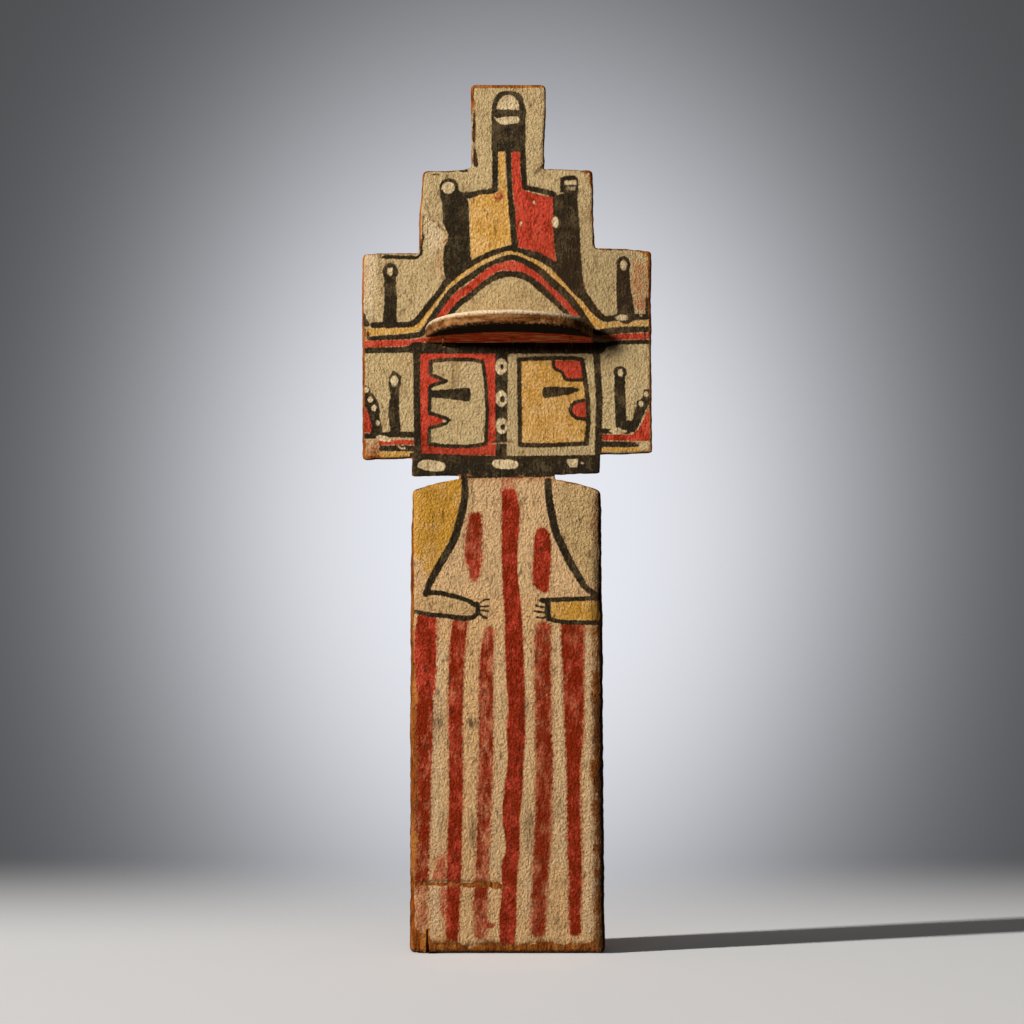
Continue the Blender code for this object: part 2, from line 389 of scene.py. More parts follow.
@dataclass(frozen=True)
class HeaddressPaint:
    """Paint of the stepped headdress, from the arch up to the top block."""

    def top_block(self) -> list[Mark]:
        """The domed figure on the top block and the strips below it."""
        return [
            ochre((-3.2, 425, 3.4), (-2.9, 417, 4), (-2.5, 409, 3.7), (-2.4, 401, 4.6)),
            red((4.6, 424, 5), (4.6, 413.5, 4.6), (6, 403, 6), tone=0.8),
            black(
                (-8.5, 424.5), (-8.4, 443.5), (-8, 449), (-7.2, 452.5), (-5.4, 455), (-3.3, 456.4),
                (0, 456.7), (3.6, 456.6), (6.2, 455.6), (8.4, 453.2), (9, 449.5), (10.2, 446), (10.1, 444),
                (9.7, 440.5), (9.7, 424.5), tone=0.85,
            ),
            *black_lines(
                ((-6.4, 426, 3.2), (-6.5, 405.5, 3.2)),
                ((0.4, 426, 3.2), (1.4, 404, 2.9), (2.4, 393.5, 3.4), (3.2, 383.5, 3.4), (4.1, 373, 3.7)),
                ((8.3, 425, 3.2), (8.6, 414.5, 3.2), (9.2, 405.5, 2.9)),
            ),
            cream(
                (-5.7, 447.2), (-5.1, 450), (-3.8, 452.6), (-2.1, 453.9), (0, 454.4), (2, 454.4),
                (3.9, 453.3), (5.7, 451), (6.4, 448.8), (6.2, 446.6), (2.5, 446.8), (-1.7, 446.7),
            ),
            cream(
                (-7, 442.8), (-4.9, 442.2), (-1.7, 443), (5.7, 443), (6.5, 441.2), (5.2, 439.6), (1.5, 439.3),
                (-1.2, 438.8), (-3.8, 439.1), (-5.4, 440.4),
            ),
        ]

    def panels(self) -> list[Mark]:
        """The ochre and red panels in the middle and the two black towers beside them."""
        return [
            ochre(
                (-20.2, 398.5), (-17, 400.5), (-14.5, 401.7), (-7.5, 402.3), (-4.9, 403.6), (0.5, 404),
                (3, 374), (2, 375.8), (-8.6, 371.6), (-19.2, 367.3), (-19.7, 380),
            ),
            red(
                (8.9, 404), (14.7, 402.4), (20, 401), (24.8, 400.6), (24.8, 382.7), (25.4, 375), (25.7, 365),
                (20, 369), (14.6, 371.6), (9.4, 372.9), (5.5, 374), (4, 388), (3, 404), tone=(0.85, 0.75),
            ),
            red(Dot(-4.3, 400.7, 4.8, 4.6), soft=0.8, tone=0.7, load=0.62),
            *black_lines(
                (
                    (-25, 401.2, 4.2), (-19.7, 401.5, 3.7), (-14.4, 403, 2.5), (-9.1, 403.5, 2.9),
                    (-6, 404.4, 2.9),
                ),
                ((9.4, 405.4, 2.6), (17.4, 403.9, 2.9), (24.5, 402, 3.2)),
            ),
            black(
                (-35.8, 407.6), (-35.6, 400.7), (-34.5, 397.5), (-34.2, 387), (-32.4, 383.2), (-31.3, 380.6),
                (-31.6, 377.4), (-33.5, 374.7), (-34, 370), (-33.9, 364), (-32.4, 354.5), (-25, 360.5),
                (-18.5, 365.5), (-19.4, 369), (-20.5, 398.6), (-25, 403), (-27.6, 409.2),
            ),
            black(Dot(-30.8, 405.4, 10.4, 10.2)), cream(Dot(-31.2, 405.4, 7, 6.2), load=0.9),
            black(
                (24, 400), (28, 402.3), (37.5, 403.9), (37.2, 398.6), (37.7, 390.6), (38.5, 382.7),
                (38.9, 371), (39.9, 359), (40.9, 353.6), (43, 347), (37, 348.8), (32, 356.5), (26.4, 363.4),
                (25.8, 367.9), (24.8, 374.7), (24.2, 382.7), (24.2, 393.3),
            ),
            black((27.9, 410.7), (31.1, 411.8), (35.4, 412.1), (37.5, 410.5), (37.7, 402.8), (27.9, 402.8)),
            cream((30.2, 409.2), (36.4, 409.5), (36.7, 407), (30.3, 406.8), load=(0.9, 0.8)),
            cream((30.7, 405.7), (36, 405.8), (35.8, 404), (30.9, 403.9), load=(0.55, 0.5)),
            cream(Dot(25.4, 387.2, 3.4, 6), tone=0.9), cream(Dot(14.2, 397.5, 1.6, 2.2), load=0.7),
            cream(Dot(7.3, 386.4, 1.4, 2.6), load=0.7),
        ]

    def arch(self) -> list[Mark]:
        """The bands that run in from the wings and arch over the visor."""
        return [
            *black_lines(
                (
                    (-71, 332.6, 3.2), (-62, 332.8, 3.2), (-52.5, 333, 3.2), (-48.8, 334.3, 3.3),
                    (-46, 337.4, 3.3), (-43, 341.2, 3.3), (-39.3, 345.9, 3.3), (-35.6, 350.4, 3.3),
                    (-32.4, 355.2, 3.7), (-25, 361.5, 3.7), (-18.6, 365.5, 3.4), (-14.4, 367.9, 2.8),
                    (-9.1, 370.3, 3.1), (-3.8, 372.1, 2.8), (1.5, 373.4, 3), (6.8, 372.1, 2.7),
                    (12, 370.5, 4), (17.4, 368.6, 4.2), (22.7, 365.4, 4.2),
                ),
                (
                    (31, 357.4, 4.4), (36.4, 351, 4), (41.2, 347.2, 4.8), (45.4, 341.4, 4.2),
                    (49.1, 337.7, 3.7), (52.3, 335.9, 3.2), (58, 336.6, 3.4), (70, 337, 3.4),
                    (76, 337.2, 3.3),
                ),
                (
                    (-72, 325.5, 2.4), (-64.7, 326, 2.6), (-56.7, 326.4, 2.9), (-50.4, 327, 3.2),
                    (-45.1, 328.6, 3.2), (-39.3, 337.2, 3.2), (-35.6, 342.5, 3.2), (-30.3, 349.6, 3.6),
                    (-25, 354.4, 3.2), (-19.7, 358, 3.4), (-14.4, 361.8, 3.3), (-9.1, 365, 2.6),
                    (-3.8, 367.1, 2.9), (2, 368.5, 3.2), (6.8, 367.4, 3.2), (12, 364.7, 3.4),
                    (17.4, 361.4, 3.7), (22.7, 356.3, 4), (28, 351.6, 4.1), (33.2, 346.4, 4),
                    (38.5, 339.8, 3.7), (43, 333, 3.4), (47, 328.9, 3.2), (51.8, 329.1, 3.7),
                    (59.7, 330, 3.6), (67.6, 330.3, 3.3), (75.5, 330.5, 2.9),
                ),
                (
                    (-77, 319.2, 2.9), (-64.7, 319.4, 3.2), (-54, 319.7, 3.4), (-46.2, 320.8, 4.2),
                    (-39.8, 321, 4.2),
                ),
                (
                    (-33, 334.5, 2.9), (-29.2, 339.8, 2.9), (-25, 344.3, 3.2), (-19.7, 348.1, 3.2),
                    (-14.4, 352.7, 3), (-9.1, 356.6, 3.3), (-3.8, 359.2, 4), (1.5, 359.8, 3.2),
                    (6.8, 359.1, 3.6), (12, 356.9, 3.4), (17.4, 352.5, 3.8), (22.7, 347.6, 3.4),
                    (28, 342.5, 2.7), (32, 338, 2.7),
                ),
                ((48, 321.4, 4), (57.6, 323.4, 2.2), (65, 323.6, 2.4), (74.8, 323.8, 2.4)),
                ((-49.5, 320.5, 6), (0, 320.5, 6), (49, 320.5, 6)),
                ((74, 346.5, 1.9), (74, 339, 1.9)),
                ((22.5, 366, 3.4), (26, 363, 4.4), (29.5, 359, 4.4)),
                ((-74, 329, 1.2), (-73.4, 325.5, 1.6)),
                ((73, 328.5, 1), (73.2, 325, 1)),
            ),
            ochre(
                (-73, 329, 3.2), (-64.7, 329.2, 3.6), (-56.7, 329.6, 3.2), (-50.4, 330.5, 3),
                (-46.2, 333, 3.4), (-42.4, 338.2, 2.7), (-39.3, 343, 2.6), (-35.6, 348.5, 2.6),
                (-30.3, 354.1, 2.6), (-25, 358.2, 2.3), (-19.7, 362, 2.2), (-14.4, 365.4, 1.9),
                (-9.1, 367.6, 1.9), (-3.8, 369.8, 1.7), (2, 371.1, 1.7), (6.8, 369.9, 1.8), (12, 367.6, 2),
                (17.4, 364.4, 2.4), (22.7, 360.6, 2.8), (28, 356, 2.8), (33.2, 350.5, 2.7), (37, 345.6, 3.2),
                (40.1, 342.2, 3.5), (43.3, 338.5, 3.8), (46.5, 334.6, 4.3), (49.1, 332.7, 3.7),
                (52.8, 332.4, 2.4), (59.7, 333.2, 2.2), (75.5, 334, 2.1),
            ),
            red(
                (-38, 335, 4.5), (-35, 338.5, 4.6), (-30.3, 344, 4.4), (-25, 349.1, 4.3), (-19.7, 352.5, 4.3),
                (-14.4, 357, 4.3), (-9.1, 361.1, 4.3), (-3.8, 363.6, 4.2), (1.5, 364.1, 5.5),
                (6.8, 363.3, 4.9), (12, 360.7, 4.1), (17.4, 357, 3.6), (22.7, 351.7, 3.3), (28, 346.5, 3.7),
                (33.2, 341.6, 3.7), (36, 338, 3.7), tone=(0.75, 0.85),
            ),
            red(
                (-77.5, 322.4, 3.7), (-64.7, 322.9, 3.7), (-56.7, 323.2, 3.4), (-50.4, 323.6, 3),
                (-43.5, 325.1, 2.2), (-38, 327, 2), tone=(0.7, 0.75),
            ),
            red(
                (45.4, 326.8, 1), (50.2, 326.3, 1.7), (55.5, 326.4, 2.7), (62.4, 326.6, 3.2), (77, 327, 3.3),
                tone=0.85,
            ),
        ]

    def upper_wings(self) -> list[Mark]:
        """The two sticks with ringed heads, and the trim lines along the steps."""
        return [
            black((-17.6, 444.5, 1), (-17.5, 438, 1.7), (-17.8, 430, 1.3), load=0.8),
            black((-17.2, 426, 1.3), (-16.8, 420.5, 2.4), (-16.6, 417.6, 2.4), load=0.8),
            black(Dot(-62, 361, 8.2, 9.5)),
            black((-62, 360, 6.8), (-62.1, 354.5, 6.4), (-61.8, 345.5, 6.8), (-62.3, 334.5, 7.4)),
            cream(
                (-63.1, 363.4), (-60.4, 363.1), (-60.9, 360.5), (-61.8, 358.1), (-62.8, 359.4),
                (-63.9, 359.9), (-63.6, 361.5),
            ),
            black((-77, 340.5), (-75.5, 339.5), (-74.6, 336), (-73, 333.5), (-73, 331.8), (-77, 332)),
            *black_lines(
                (
                    (-66.6, 368.5, 1.1), (-64, 368.9, 2.1), (-55, 368.6, 2.1), (-51.4, 368.6, 2.4),
                    (-48.4, 368.3, 1.7), (-46.2, 369.9, 1.6), (-45.4, 372, 1.5), (-45.6, 374.8, 1.5),
                    (-44.6, 379, 1.5), (-44.7, 381.8, 1.1),
                ),
                ((-44.8, 383.5, 0.8), (-44.2, 391.5, 0.8)),
                ((-39, 412.4, 1.1), (-36, 412.2, 1.1)),
                ((-34, 414, 0.6), (-27, 414, 0.6)),
                ((-24.4, 414.5, 1.8), (-21.4, 414.6, 1.8)),
                ((52.3, 372.5, 0.9), (55, 372.5, 0.9)),
                ((58.7, 372.5, 0.9), (61.4, 372.5, 0.9)),
            ),
            black(Dot(61.5, 365, 7.4, 8.4)),
            black((61.5, 362, 6.8), (61.3, 359, 7.1), (61.6, 351, 7.9), (62.3, 344.5, 8.8), (62.9, 338, 9.5)),
            cream(Dot(61.6, 364.4, 3.6, 5.6)), cream(Dot(60.7, 336.6, 6.4, 3.2)), cream(Dot(71.9, 339, 1, 1)),
            cream(Dot(70.8, 337.7, 1.2, 1.1)),
        ]

    def marks(self) -> list[Mark]:
        """All the paint of the headdress."""
        return self.top_block() + self.panels() + self.arch() + self.upper_wings()


@dataclass(frozen=True)
class FacePaint:
    """Paint of the mask's front, below the visor."""

    def frames(self) -> list[Mark]:
        """The black frame, the strip between the panels with its rings, and the band at the chin."""
        ring_level = ((-3.3, 310.7), (-3.1, 293.8), (-2.9, 279.3))
        rings = [cream(Dot(x, z, 6.2, 8.6)) for x, z in ring_level]
        holes = (Dot(-2.8, 310.7, 2.1, 2.8), Dot(-2.5, 293.5, 3, 3.5), Dot(-2.4, 278.7, 2.6, 3.2))
        return [
            *black_lines(
                ((-48, 322, 3.8), (-47.9, 303.5, 3.7), (-47.7, 282, 3.7), (-47.4, 263, 4)),
                (
                    (46.8, 322, 3.8), (47.4, 314, 3.7), (48, 306, 3.7), (48.6, 295, 3.7), (48.6, 287.5, 3.7),
                    (48.3, 277, 3.7), (48.1, 262, 3.7),
                ),
                ((-3.1, 322, 6.9), (-3.1, 292.5, 6.5), (-3.3, 261, 5.8)),
            ),
            black(
                (-51.5, 265), (-20, 263.9), (-0.5, 263.4), (47, 264), (50.5, 263), (50.5, 253), (-1, 251.8),
                (-51.5, 251),
            ),
            cream((-45.2, 258.6, 4.2), (-42.5, 258.6, 5.6), (-38, 258, 5.6), (-35, 257.8, 4.6)),
            cream((-6, 259.4, 4), (-3, 259, 5), (1, 259, 5), (3.6, 258.8, 4.2)),
            cream((31.7, 261.6), (37.5, 262), (37, 257.4), (33.2, 257.6), (31.7, 259.7)),
            cream(Dot(39.6, 259.6, 1.4, 1)),
            cream((-7.8, 270, 0.9), (-2, 270.3, 0.8), (3.6, 270, 0.9), load=0.7, tone=0.0),
            *rings,
            *[cream(hole, wiped=True) for hole in holes],
        ]

    def left_panel(self) -> list[Mark]:
        """The red-framed panel with its notched outline and its eye."""
        notched = (
            (-40.5, 313.6), (-33, 314.3), (-25, 314.5), (-17, 314.1), (-12.9, 313.2), (-11.9, 306),
            (-11.2, 298), (-10.6, 287.5), (-11, 277), (-11.3, 271), (-11.8, 269.7), (-17, 268.8),
            (-25, 268.4), (-33, 268.6), (-41.4, 269.7), (-41.4, 277), (-40.8, 278.2), (-37, 279.2),
            (-32.9, 280.6), (-30.9, 282.2), (-32.9, 283.5), (-36.6, 284.8), (-41.1, 286), (-41.1, 299.5),
            (-39.8, 300.8), (-35.6, 302), (-32.4, 303), (-36.6, 304.9), (-40.6, 306.3),
        )
        outline = tuple((x, z, 2.1) for x, z in notched + notched[:1])
        return [
            red(
                (-46.6, 318.6), (-6.5, 318.6), (-6.2, 314), (-5, 287.5), (-5.4, 271.5), (-6, 263.6),
                (-46.6, 263.6), tone=(0.9, 0.6),
            ),
            red(*notched, wiped=True),
            ochre(
                (-26.5, 313.5, 3), (-27.5, 307, 3.6), (-30, 301, 4.2), (-34, 297.5, 3), soft=1.6,
                load=(0.4, 0.35), tone=0.1,
            ),
            *[black(Stroke(pair)) for pair in zip(outline, outline[1:])],
            black(
                (-41.5, 298), (-33, 298.6), (-27.6, 299.1), (-22.3, 299.6), (-20, 299.3), (-19.2, 297),
                (-19.4, 293.8), (-20.2, 292), (-24, 292.5), (-30.3, 293.5), (-35.6, 294), (-41.5, 294.3),
            ),
            cream(Dot(-33.2, 281.9, 1.8, 1.4)),
        ]

    def right_panel(self) -> list[Mark]:
        """The ochre panel with its black frame, its eye, the stepped corner and the half disc."""
        return [
            ochre(
                (6.5, 314), (17.5, 314.8), (28, 315), (39, 314.2), (41.2, 306), (42.6, 290), (42.7, 280),
                (42, 270), (28, 269.4), (6.8, 269.4),
            ),
            red(
                (24.6, 314), (40, 314), (41.2, 303.6), (32, 303.7), (30.4, 305.8), (29, 308.2), (25, 309.8),
                tone=0.9,
            ),
            red(
                (42.4, 292.8), (37, 292.2), (34.6, 290.2), (33.8, 287.7), (35, 285.2), (37.6, 283.6),
                (42.4, 283.4), tone=0.9,
            ),
            *black_lines(
                ((6.3, 314.6, 2.5), (6.5, 292.5, 2.5), (6.8, 269.4, 2.5)),
                ((6.6, 269.2, 2.5), (17.4, 269, 2.5), (28, 269.3, 2.5), (42.2, 270, 2.5)),
                (
                    (6.2, 314.2, 2.4), (10.5, 314.8, 2.4), (17.4, 315, 2.4), (28, 315.2, 2.4), (36, 315, 2.4),
                    (40, 314, 2.4),
                ),
                (
                    (39.6, 314, 2.6), (41, 306, 2.6), (42, 298, 2.6), (42.8, 290, 2.7), (42.9, 282, 2.7),
                    (42.4, 276, 2.6), (41.9, 269.8, 2.6),
                ),
                (
                    (24.2, 314, 1.9), (24.8, 310.2, 1.9), (26.9, 308.6, 1.9), (29, 307.9, 1.9),
                    (30.1, 305.2, 1.9), (32.2, 303.7, 1.9), (40, 303.6, 1.9),
                ),
                (
                    (41.7, 292.8, 2), (36.9, 292.2, 2), (34.3, 290.3, 2), (33.3, 287.7, 2), (34.8, 284.8, 2),
                    (37.5, 283.2, 2), (42.8, 282.8, 2),
                ),
            ),
            black(
                (18.4, 297.5), (19.2, 299.9), (21.6, 300.1), (33.2, 299.9), (37, 299.4), (38.8, 298.8),
                (37.5, 297.5), (33.2, 295.9), (28, 295.1), (22.7, 294.3), (20, 293.8), (18.7, 295.4),
            ),
        ]

    def marks(self) -> list[Mark]:
        """All the paint of the mask's front."""
        return self.frames() + self.left_panel() + self.right_panel()


@dataclass(frozen=True)
class LowerWingPaint:
    """Paint of the two wings beside the mask, below the long bands."""

    def left(self) -> list[Mark]:
        """The stick, the dotted chain and the bands of the left wing."""
        dots = ((-74.7, 298.4, 2.7), (-72.6, 293.2, 2.8), (-70.5, 288.8, 2.6), (-68.5, 280.8, 2.3))
        return [
            black(
                (-60.2, 308.8), (-58.3, 307.2), (-56.2, 305.9), (-56.2, 301.7), (-57, 299), (-57.3, 290),
                (-56.5, 279.5), (-56.7, 275.8), (-62, 275.8), (-62.6, 282), (-63.1, 286.5), (-62.8, 290),
                (-62, 295.3), (-62.6, 299), (-63, 301.2), (-62.6, 304.9), (-61.5, 307.3),
            ),
            cream(Dot(-59.8, 303, 4, 5.6)),
            black(
                (-77.5, 300.8), (-74.7, 300.7), (-73.1, 299.6), (-72.4, 297), (-70.5, 295.9), (-69.4, 293.8),
                (-68.1, 291.1), (-67.6, 287.4), (-67.3, 283.2), (-66.3, 279.5), (-66.3, 275), (-72.6, 275),
                (-71.6, 278), (-72.6, 282.2), (-73.7, 286.4), (-74.7, 289), (-77.5, 290),
            ),
            *[cream(Dot(x, z, width, width * 1.15)) for x, z, width in dots],
            red(
                (-77.5, 289), (-74.2, 288.2), (-73.1, 285), (-71.8, 280.5), (-70.8, 275.5), (-77.5, 275.5),
                tone=0.6,
            ),
            *black_lines(
                ((-75.5, 274, 3), (-71, 274, 3), (-60, 274.7, 3.2), (-49.8, 274.6, 3.2)),
                ((-66.3, 267.4, 3.2), (-50.2, 267.4, 3.2)),
            ),
            red((-67, 270.4, 2.7), (-60, 270.6, 2.6), (-49.4, 270.5, 2.6), tone=(0.6, 0.7)),
            ochre((-66.3, 264.1), (-50, 264.1), width=3.2, load=0.7, tone=0.2),
            cream(
                (-70, 273.1), (-67.9, 274.5), (-65.2, 274.2), (-62, 272.9), (-61.2, 271.5), (-62.6, 270.7),
                (-67.9, 271.6),
            ),
            cream((-57.8, 268.4, 1.2), (-56, 267.3, 1), (-54.4, 267.6, 1.2), load=(0.8, 0.7)),
        ]

    def right(self) -> list[Mark]:
        """The stick, the hooked chain and the bands of the right wing."""
        return [
            black(Dot(59.7, 307.5, 7.1)),
            black((59.6, 304, 5.8), (59.6, 299, 5.8), (60.2, 280, 6)),
            cream(Dot(59.9, 307.3, 2.7, 3.8)),
            black(
                (57.6, 279.5), (62.9, 282.6), (66.1, 282.1), (67.1, 286.4), (68.4, 290), (68.2, 292.7),
                (70.3, 293), (71.9, 295.3), (72.4, 298.5), (75, 298.8), (77.5, 298), (77.5, 292.7),
                (74.5, 290), (72.9, 286.9), (70.8, 282.1), (69.2, 277.9), (67.1, 276), (62.9, 274.7),
                (57.6, 276.8),
            ),
            cream(Dot(70.8, 290.9, 2.7, 3.1)), cream(Dot(73.6, 296.1, 2.4, 2.9)),
            red(
                (50.4, 274.8), (66, 274.8), (68.7, 276.8), (70.8, 280), (72.9, 284.2), (74.5, 288),
                (77.5, 290.5), (77.5, 271.3), (50.4, 271.5), tone=(0.8, 0.65),
            ),
            *black_lines(
                ((50, 276.6, 2.6), (55.5, 276.3, 2.6)),
                ((49.6, 269.7, 3.2), (60, 269.5, 3.2), (69, 269.5, 2.6)),
            ),
            cream(
                (54, 276.8), (56, 277.9), (58.6, 278.4), (60.2, 277.9), (59.2, 274.7), (56, 275), load=0.85,
            ),
            cream(Dot(61.4, 276.5, 3, 1.5), load=0.8),
            ochre((50, 267), (70.3, 267), width=1.9, load=(0.75, 0.7), tone=0.2),
            cream((68.5, 270.3, 1), (72, 269, 0.8), (75.5, 269.7, 1), load=0.6),
            cream((69, 268), (75, 267.6), width=0.8, load=0.6),
        ]

    def marks(self) -> list[Mark]:
        """All the paint of the lower wings."""
        return self.left() + self.right()


@dataclass(frozen=True)
class BodyPaint:
    """Paint of the body: arms, hands and the striped robe."""

    def left_arm(self) -> list[Mark]:
        """The ochre upper arm, the forearm and the hand at the left."""
        fingers = (
            ((-15, 185, 1.1), (-12.5, 187, 1.0), (-10, 187.5, 1.4)),
            ((-14.4, 183.6, 1.0), (-10, 183.9, 1.3)),
            ((-14.4, 181.8, 1.0), (-10, 181.2, 1.2)),
            ((-15, 180, 1.6), (-13, 178.5, 1.5), (-11, 177.4, 1.4)),
        )
        return [
            ochre(
                (-52.5, 246), (-38, 252), (-23.5, 252), (-23.5, 241), (-25.8, 229.5), (-29.5, 218.5),
                (-35.5, 207.5), (-40.5, 199), (-47, 197), (-52.5, 199), soft=0.6, load=(1.0, 0.62),
                tone=(0.15, 0.3),
            ),
            ochre((-55, 216), (-46, 208), (-41, 196), (-55, 190), soft=2.4, wiped=True),
            *black_lines(
                (
                    (-22.6, 251, 3.3), (-22.6, 241, 4.2), (-25, 229.7, 4.2), (-28.4, 218.6, 4.2),
                    (-34.8, 207.5, 4.2), (-40.3, 197.7, 3.9), (-43.2, 190.4, 3.2),
                ),
                (
                    (-43.6, 190.9, 2.6), (-35.6, 190.8, 2.6), (-29.2, 189.3, 2.7), (-22.3, 187.4, 2.5),
                    (-17, 184.5, 2.8),
                ),
                (
                    (-48.8, 181, 2.2), (-41, 179.4, 2.4), (-32.4, 178.6, 2.6), (-25, 177.7, 3),
                    (-18.6, 177.9, 2.8), (-15.5, 180.6, 2.7),
                ),
                ((-16, 184.7, 3), (-15.6, 182, 2.8), (-16, 179.6, 2.8)),
                *fingers,
            ),
        ]

    def right_arm(self) -> list[Mark]:
        """The upper arm, the ochre forearm and the hand at the right."""
        fingers = (
            ((21, 185.8, 1.3), (18.4, 186, 1.2), (16.6, 187.1, 1.3)),
            ((20, 183.3, 1.2), (17.5, 183.4, 1.2), (15.3, 184.2, 1.4)),
            ((20, 180.5, 1.3), (17, 180.8, 1.2), (14.4, 181.2, 1.2)),
            ((20.5, 178, 1.3), (18, 177.6, 1.1), (15.6, 178, 1.2)),
        )
        return [
            ochre((23, 187), (51.5, 187.5), (51.5, 176), (23, 176.5), tone=0.3),
            *black_lines(
                (
                    (21.6, 250, 3.7), (22.1, 241, 4.2), (24.2, 229.7, 4.2), (26.1, 222.3, 4.2),
                    (29.5, 214.9, 4.3), (33, 207.5, 4.2), (37.5, 200, 4), (40.6, 194.8, 3.4),
                    (44.9, 191, 3.2), (49.1, 189, 3), (52, 188.5, 3),
                ),
                ((18, 187.2, 2.2), (24.2, 187.2, 2.5), (33.2, 187.6, 2.5), (52, 188.2, 2.6)),
                ((21.6, 177, 2.2), (28, 175.7, 2.4), (35.9, 175.2, 2.5), (52, 175, 2.7)),
                ((21.6, 186.5, 3.3), (21.4, 182, 3.1), (21.8, 177.4, 3.2)),
                *fingers,
            ),
        ]

    def chest(self) -> list[Mark]:
        """The two short stripes beside the middle one."""
        return [
            red(
                (-20.7, 231.3), (-18.6, 233.7), (-15.5, 233.9), (-13.4, 231.8), (-12.9, 226.5), (-13.4, 208),
                (-14.5, 200), (-16.5, 196.2), (-19.7, 198), (-20.7, 205.3), (-22.4, 208), (-22.9, 214),
                soft=0.9, load=(0.8, 0.95), tone=(0.25, 0.4),
            ),
            red(
                (16.3, 225.3), (20.5, 225.4), (22.6, 222.2), (23.5, 216), (23.1, 208), (22.1, 192.3),
                (20.5, 190.7), (15.9, 192.8), (13.6, 195), (13.2, 202.5), (14.1, 213.4), (14.2, 220.5),
                soft=0.6, load=1.2, tone=(0.25, 0.35),
            ),
        ]

    def stripes(self) -> list[Mark]:
        """The long stripes of the robe."""
        return [
            red(
                (0.9, 243, 7.8), (1.8, 233.4, 9.6), (1.4, 218.6, 8.8), (1.3, 204, 8.2), (2.3, 189, 9),
                (3, 181.5, 9), (3.7, 161.5, 9.8), (4.2, 146.6, 9.6), (4.9, 131.8, 9), (4.6, 117, 9.8),
                (4.5, 102.2, 8.4), (3.4, 87.3, 9.7), (2.1, 73, 9.3), (2.9, 54.5, 7.2), (1.4, 47.1, 8.7),
                (1, 32.3, 8), (0.3, 17.5, 9.2), (0.1, 4, 7.4), soft=0.45, load=1.25, tone=0.3,
            ),
            red((0.6, 251, 4.5), (0.8, 242, 7.4), soft=1.0, load=(0.3, 0.7), tone=0.8),
            red(
                (-42.2, 180, 9.6), (-43.3, 169, 11.8), (-43.4, 154, 11.8), (-43.4, 142, 10.6),
                (-43.6, 138, 9.5), soft=0.7, tone=(0.3, 0.75),
            ),
            red(
                (-44, 140, 9.5), (-44.7, 117, 10.8), (-44.9, 102, 10.1), (-45.3, 75, 9.6), (-45.6, 54.5, 8.9),
                (-45.4, 38, 7), soft=0.8, load=(0.95, 0.8), tone=(0.2, 0.15),
            ),
            red((-45.3, 34, 6.6), (-45.3, 11.5, 6.2), soft=1.2, load=(0.6, 0.5), tone=0.4),
            red(
                (-39.8, 38.6), (-38.6, 43), (-36.5, 49), (-34.2, 51.4), (-32.4, 51.3), (-33.2, 45),
                (-33, 38.6), soft=0.9, load=(0.55, 0.62), tone=(0.75, 0.7),
            ),
            red((-33.9, 34.4), (-33.8, 20.5), width=2.4, soft=0.8, load=(0.6, 0.5), tone=0.7),
            red(
                (-25.3, 174, 8.8), (-26.4, 162, 8.7), (-26.8, 154, 8.4), (-27.4, 132, 8), (-27.1, 87.3, 7.4),
                (-27.6, 69.4, 7.8), (-28.3, 39.6, 7.8), (-28.8, 20, 7.2), (-29.2, 7, 6.6), soft=0.7,
                load=(0.8, 1.1), tone=(0.4, 0.3),
            ),
            red(
                (-9.5, 170.4, 5), (-10.6, 161.5, 6.8), (-11.2, 146.6, 7.6), (-11.3, 102, 7.8),
                (-12, 87.3, 7.9), (-12.4, 69.4, 7.2), (-13.5, 39.7, 7.2), (-14.2, 28, 7.8), (-14.2, 11, 7.2),
                soft=0.8, load=(0.82, 0.72), tone=(0.3, 0.35),
            ),
            red((-13.2, 15.5, 4), (-9, 14.5, 3), (-7.4, 15, 2.2), soft=0.6, load=(0.8, 0.6), tone=0.6),
            red(
                (19.2, 171.2, 8), (18.8, 161.4, 8.5), (19.2, 118, 8.6), (20, 102.2, 8.6), (18.9, 70.4, 8.6),
                (18.1, 54.5, 8.6), (17.2, 39.7, 8.1), (16.5, 25, 8.2), (16.4, 12, 7.6), soft=1.0,
                load=(0.8, 0.74), tone=(0.2, 0.15),
            ),
            red(
                (34.6, 175, 13), (34.6, 160.4, 11.9), (35.2, 137, 11.2), (35.3, 124.4, 10.6),
                (35.2, 109.6, 9.4), (35, 94.7, 7.6), (35.6, 54.5, 7.8), (36.1, 39.7, 7.4), (35.7, 24.9, 6.8),
                (36, 12, 6.4), soft=0.9, load=(0.82, 1.15), tone=(0.2, 0.25),
            ),
            red((-53, 181.6), (-53, 192), (-34, 188), (-34, 179.2), wiped=True),
            red((26, 175.2), (26, 188), (44, 188), (44, 175.2), wiped=True),
        ]

    def marks(self) -> list[Mark]:
        """All the paint of the body."""
        return self.stripes() + self.chest() + self.left_arm() + self.right_arm()


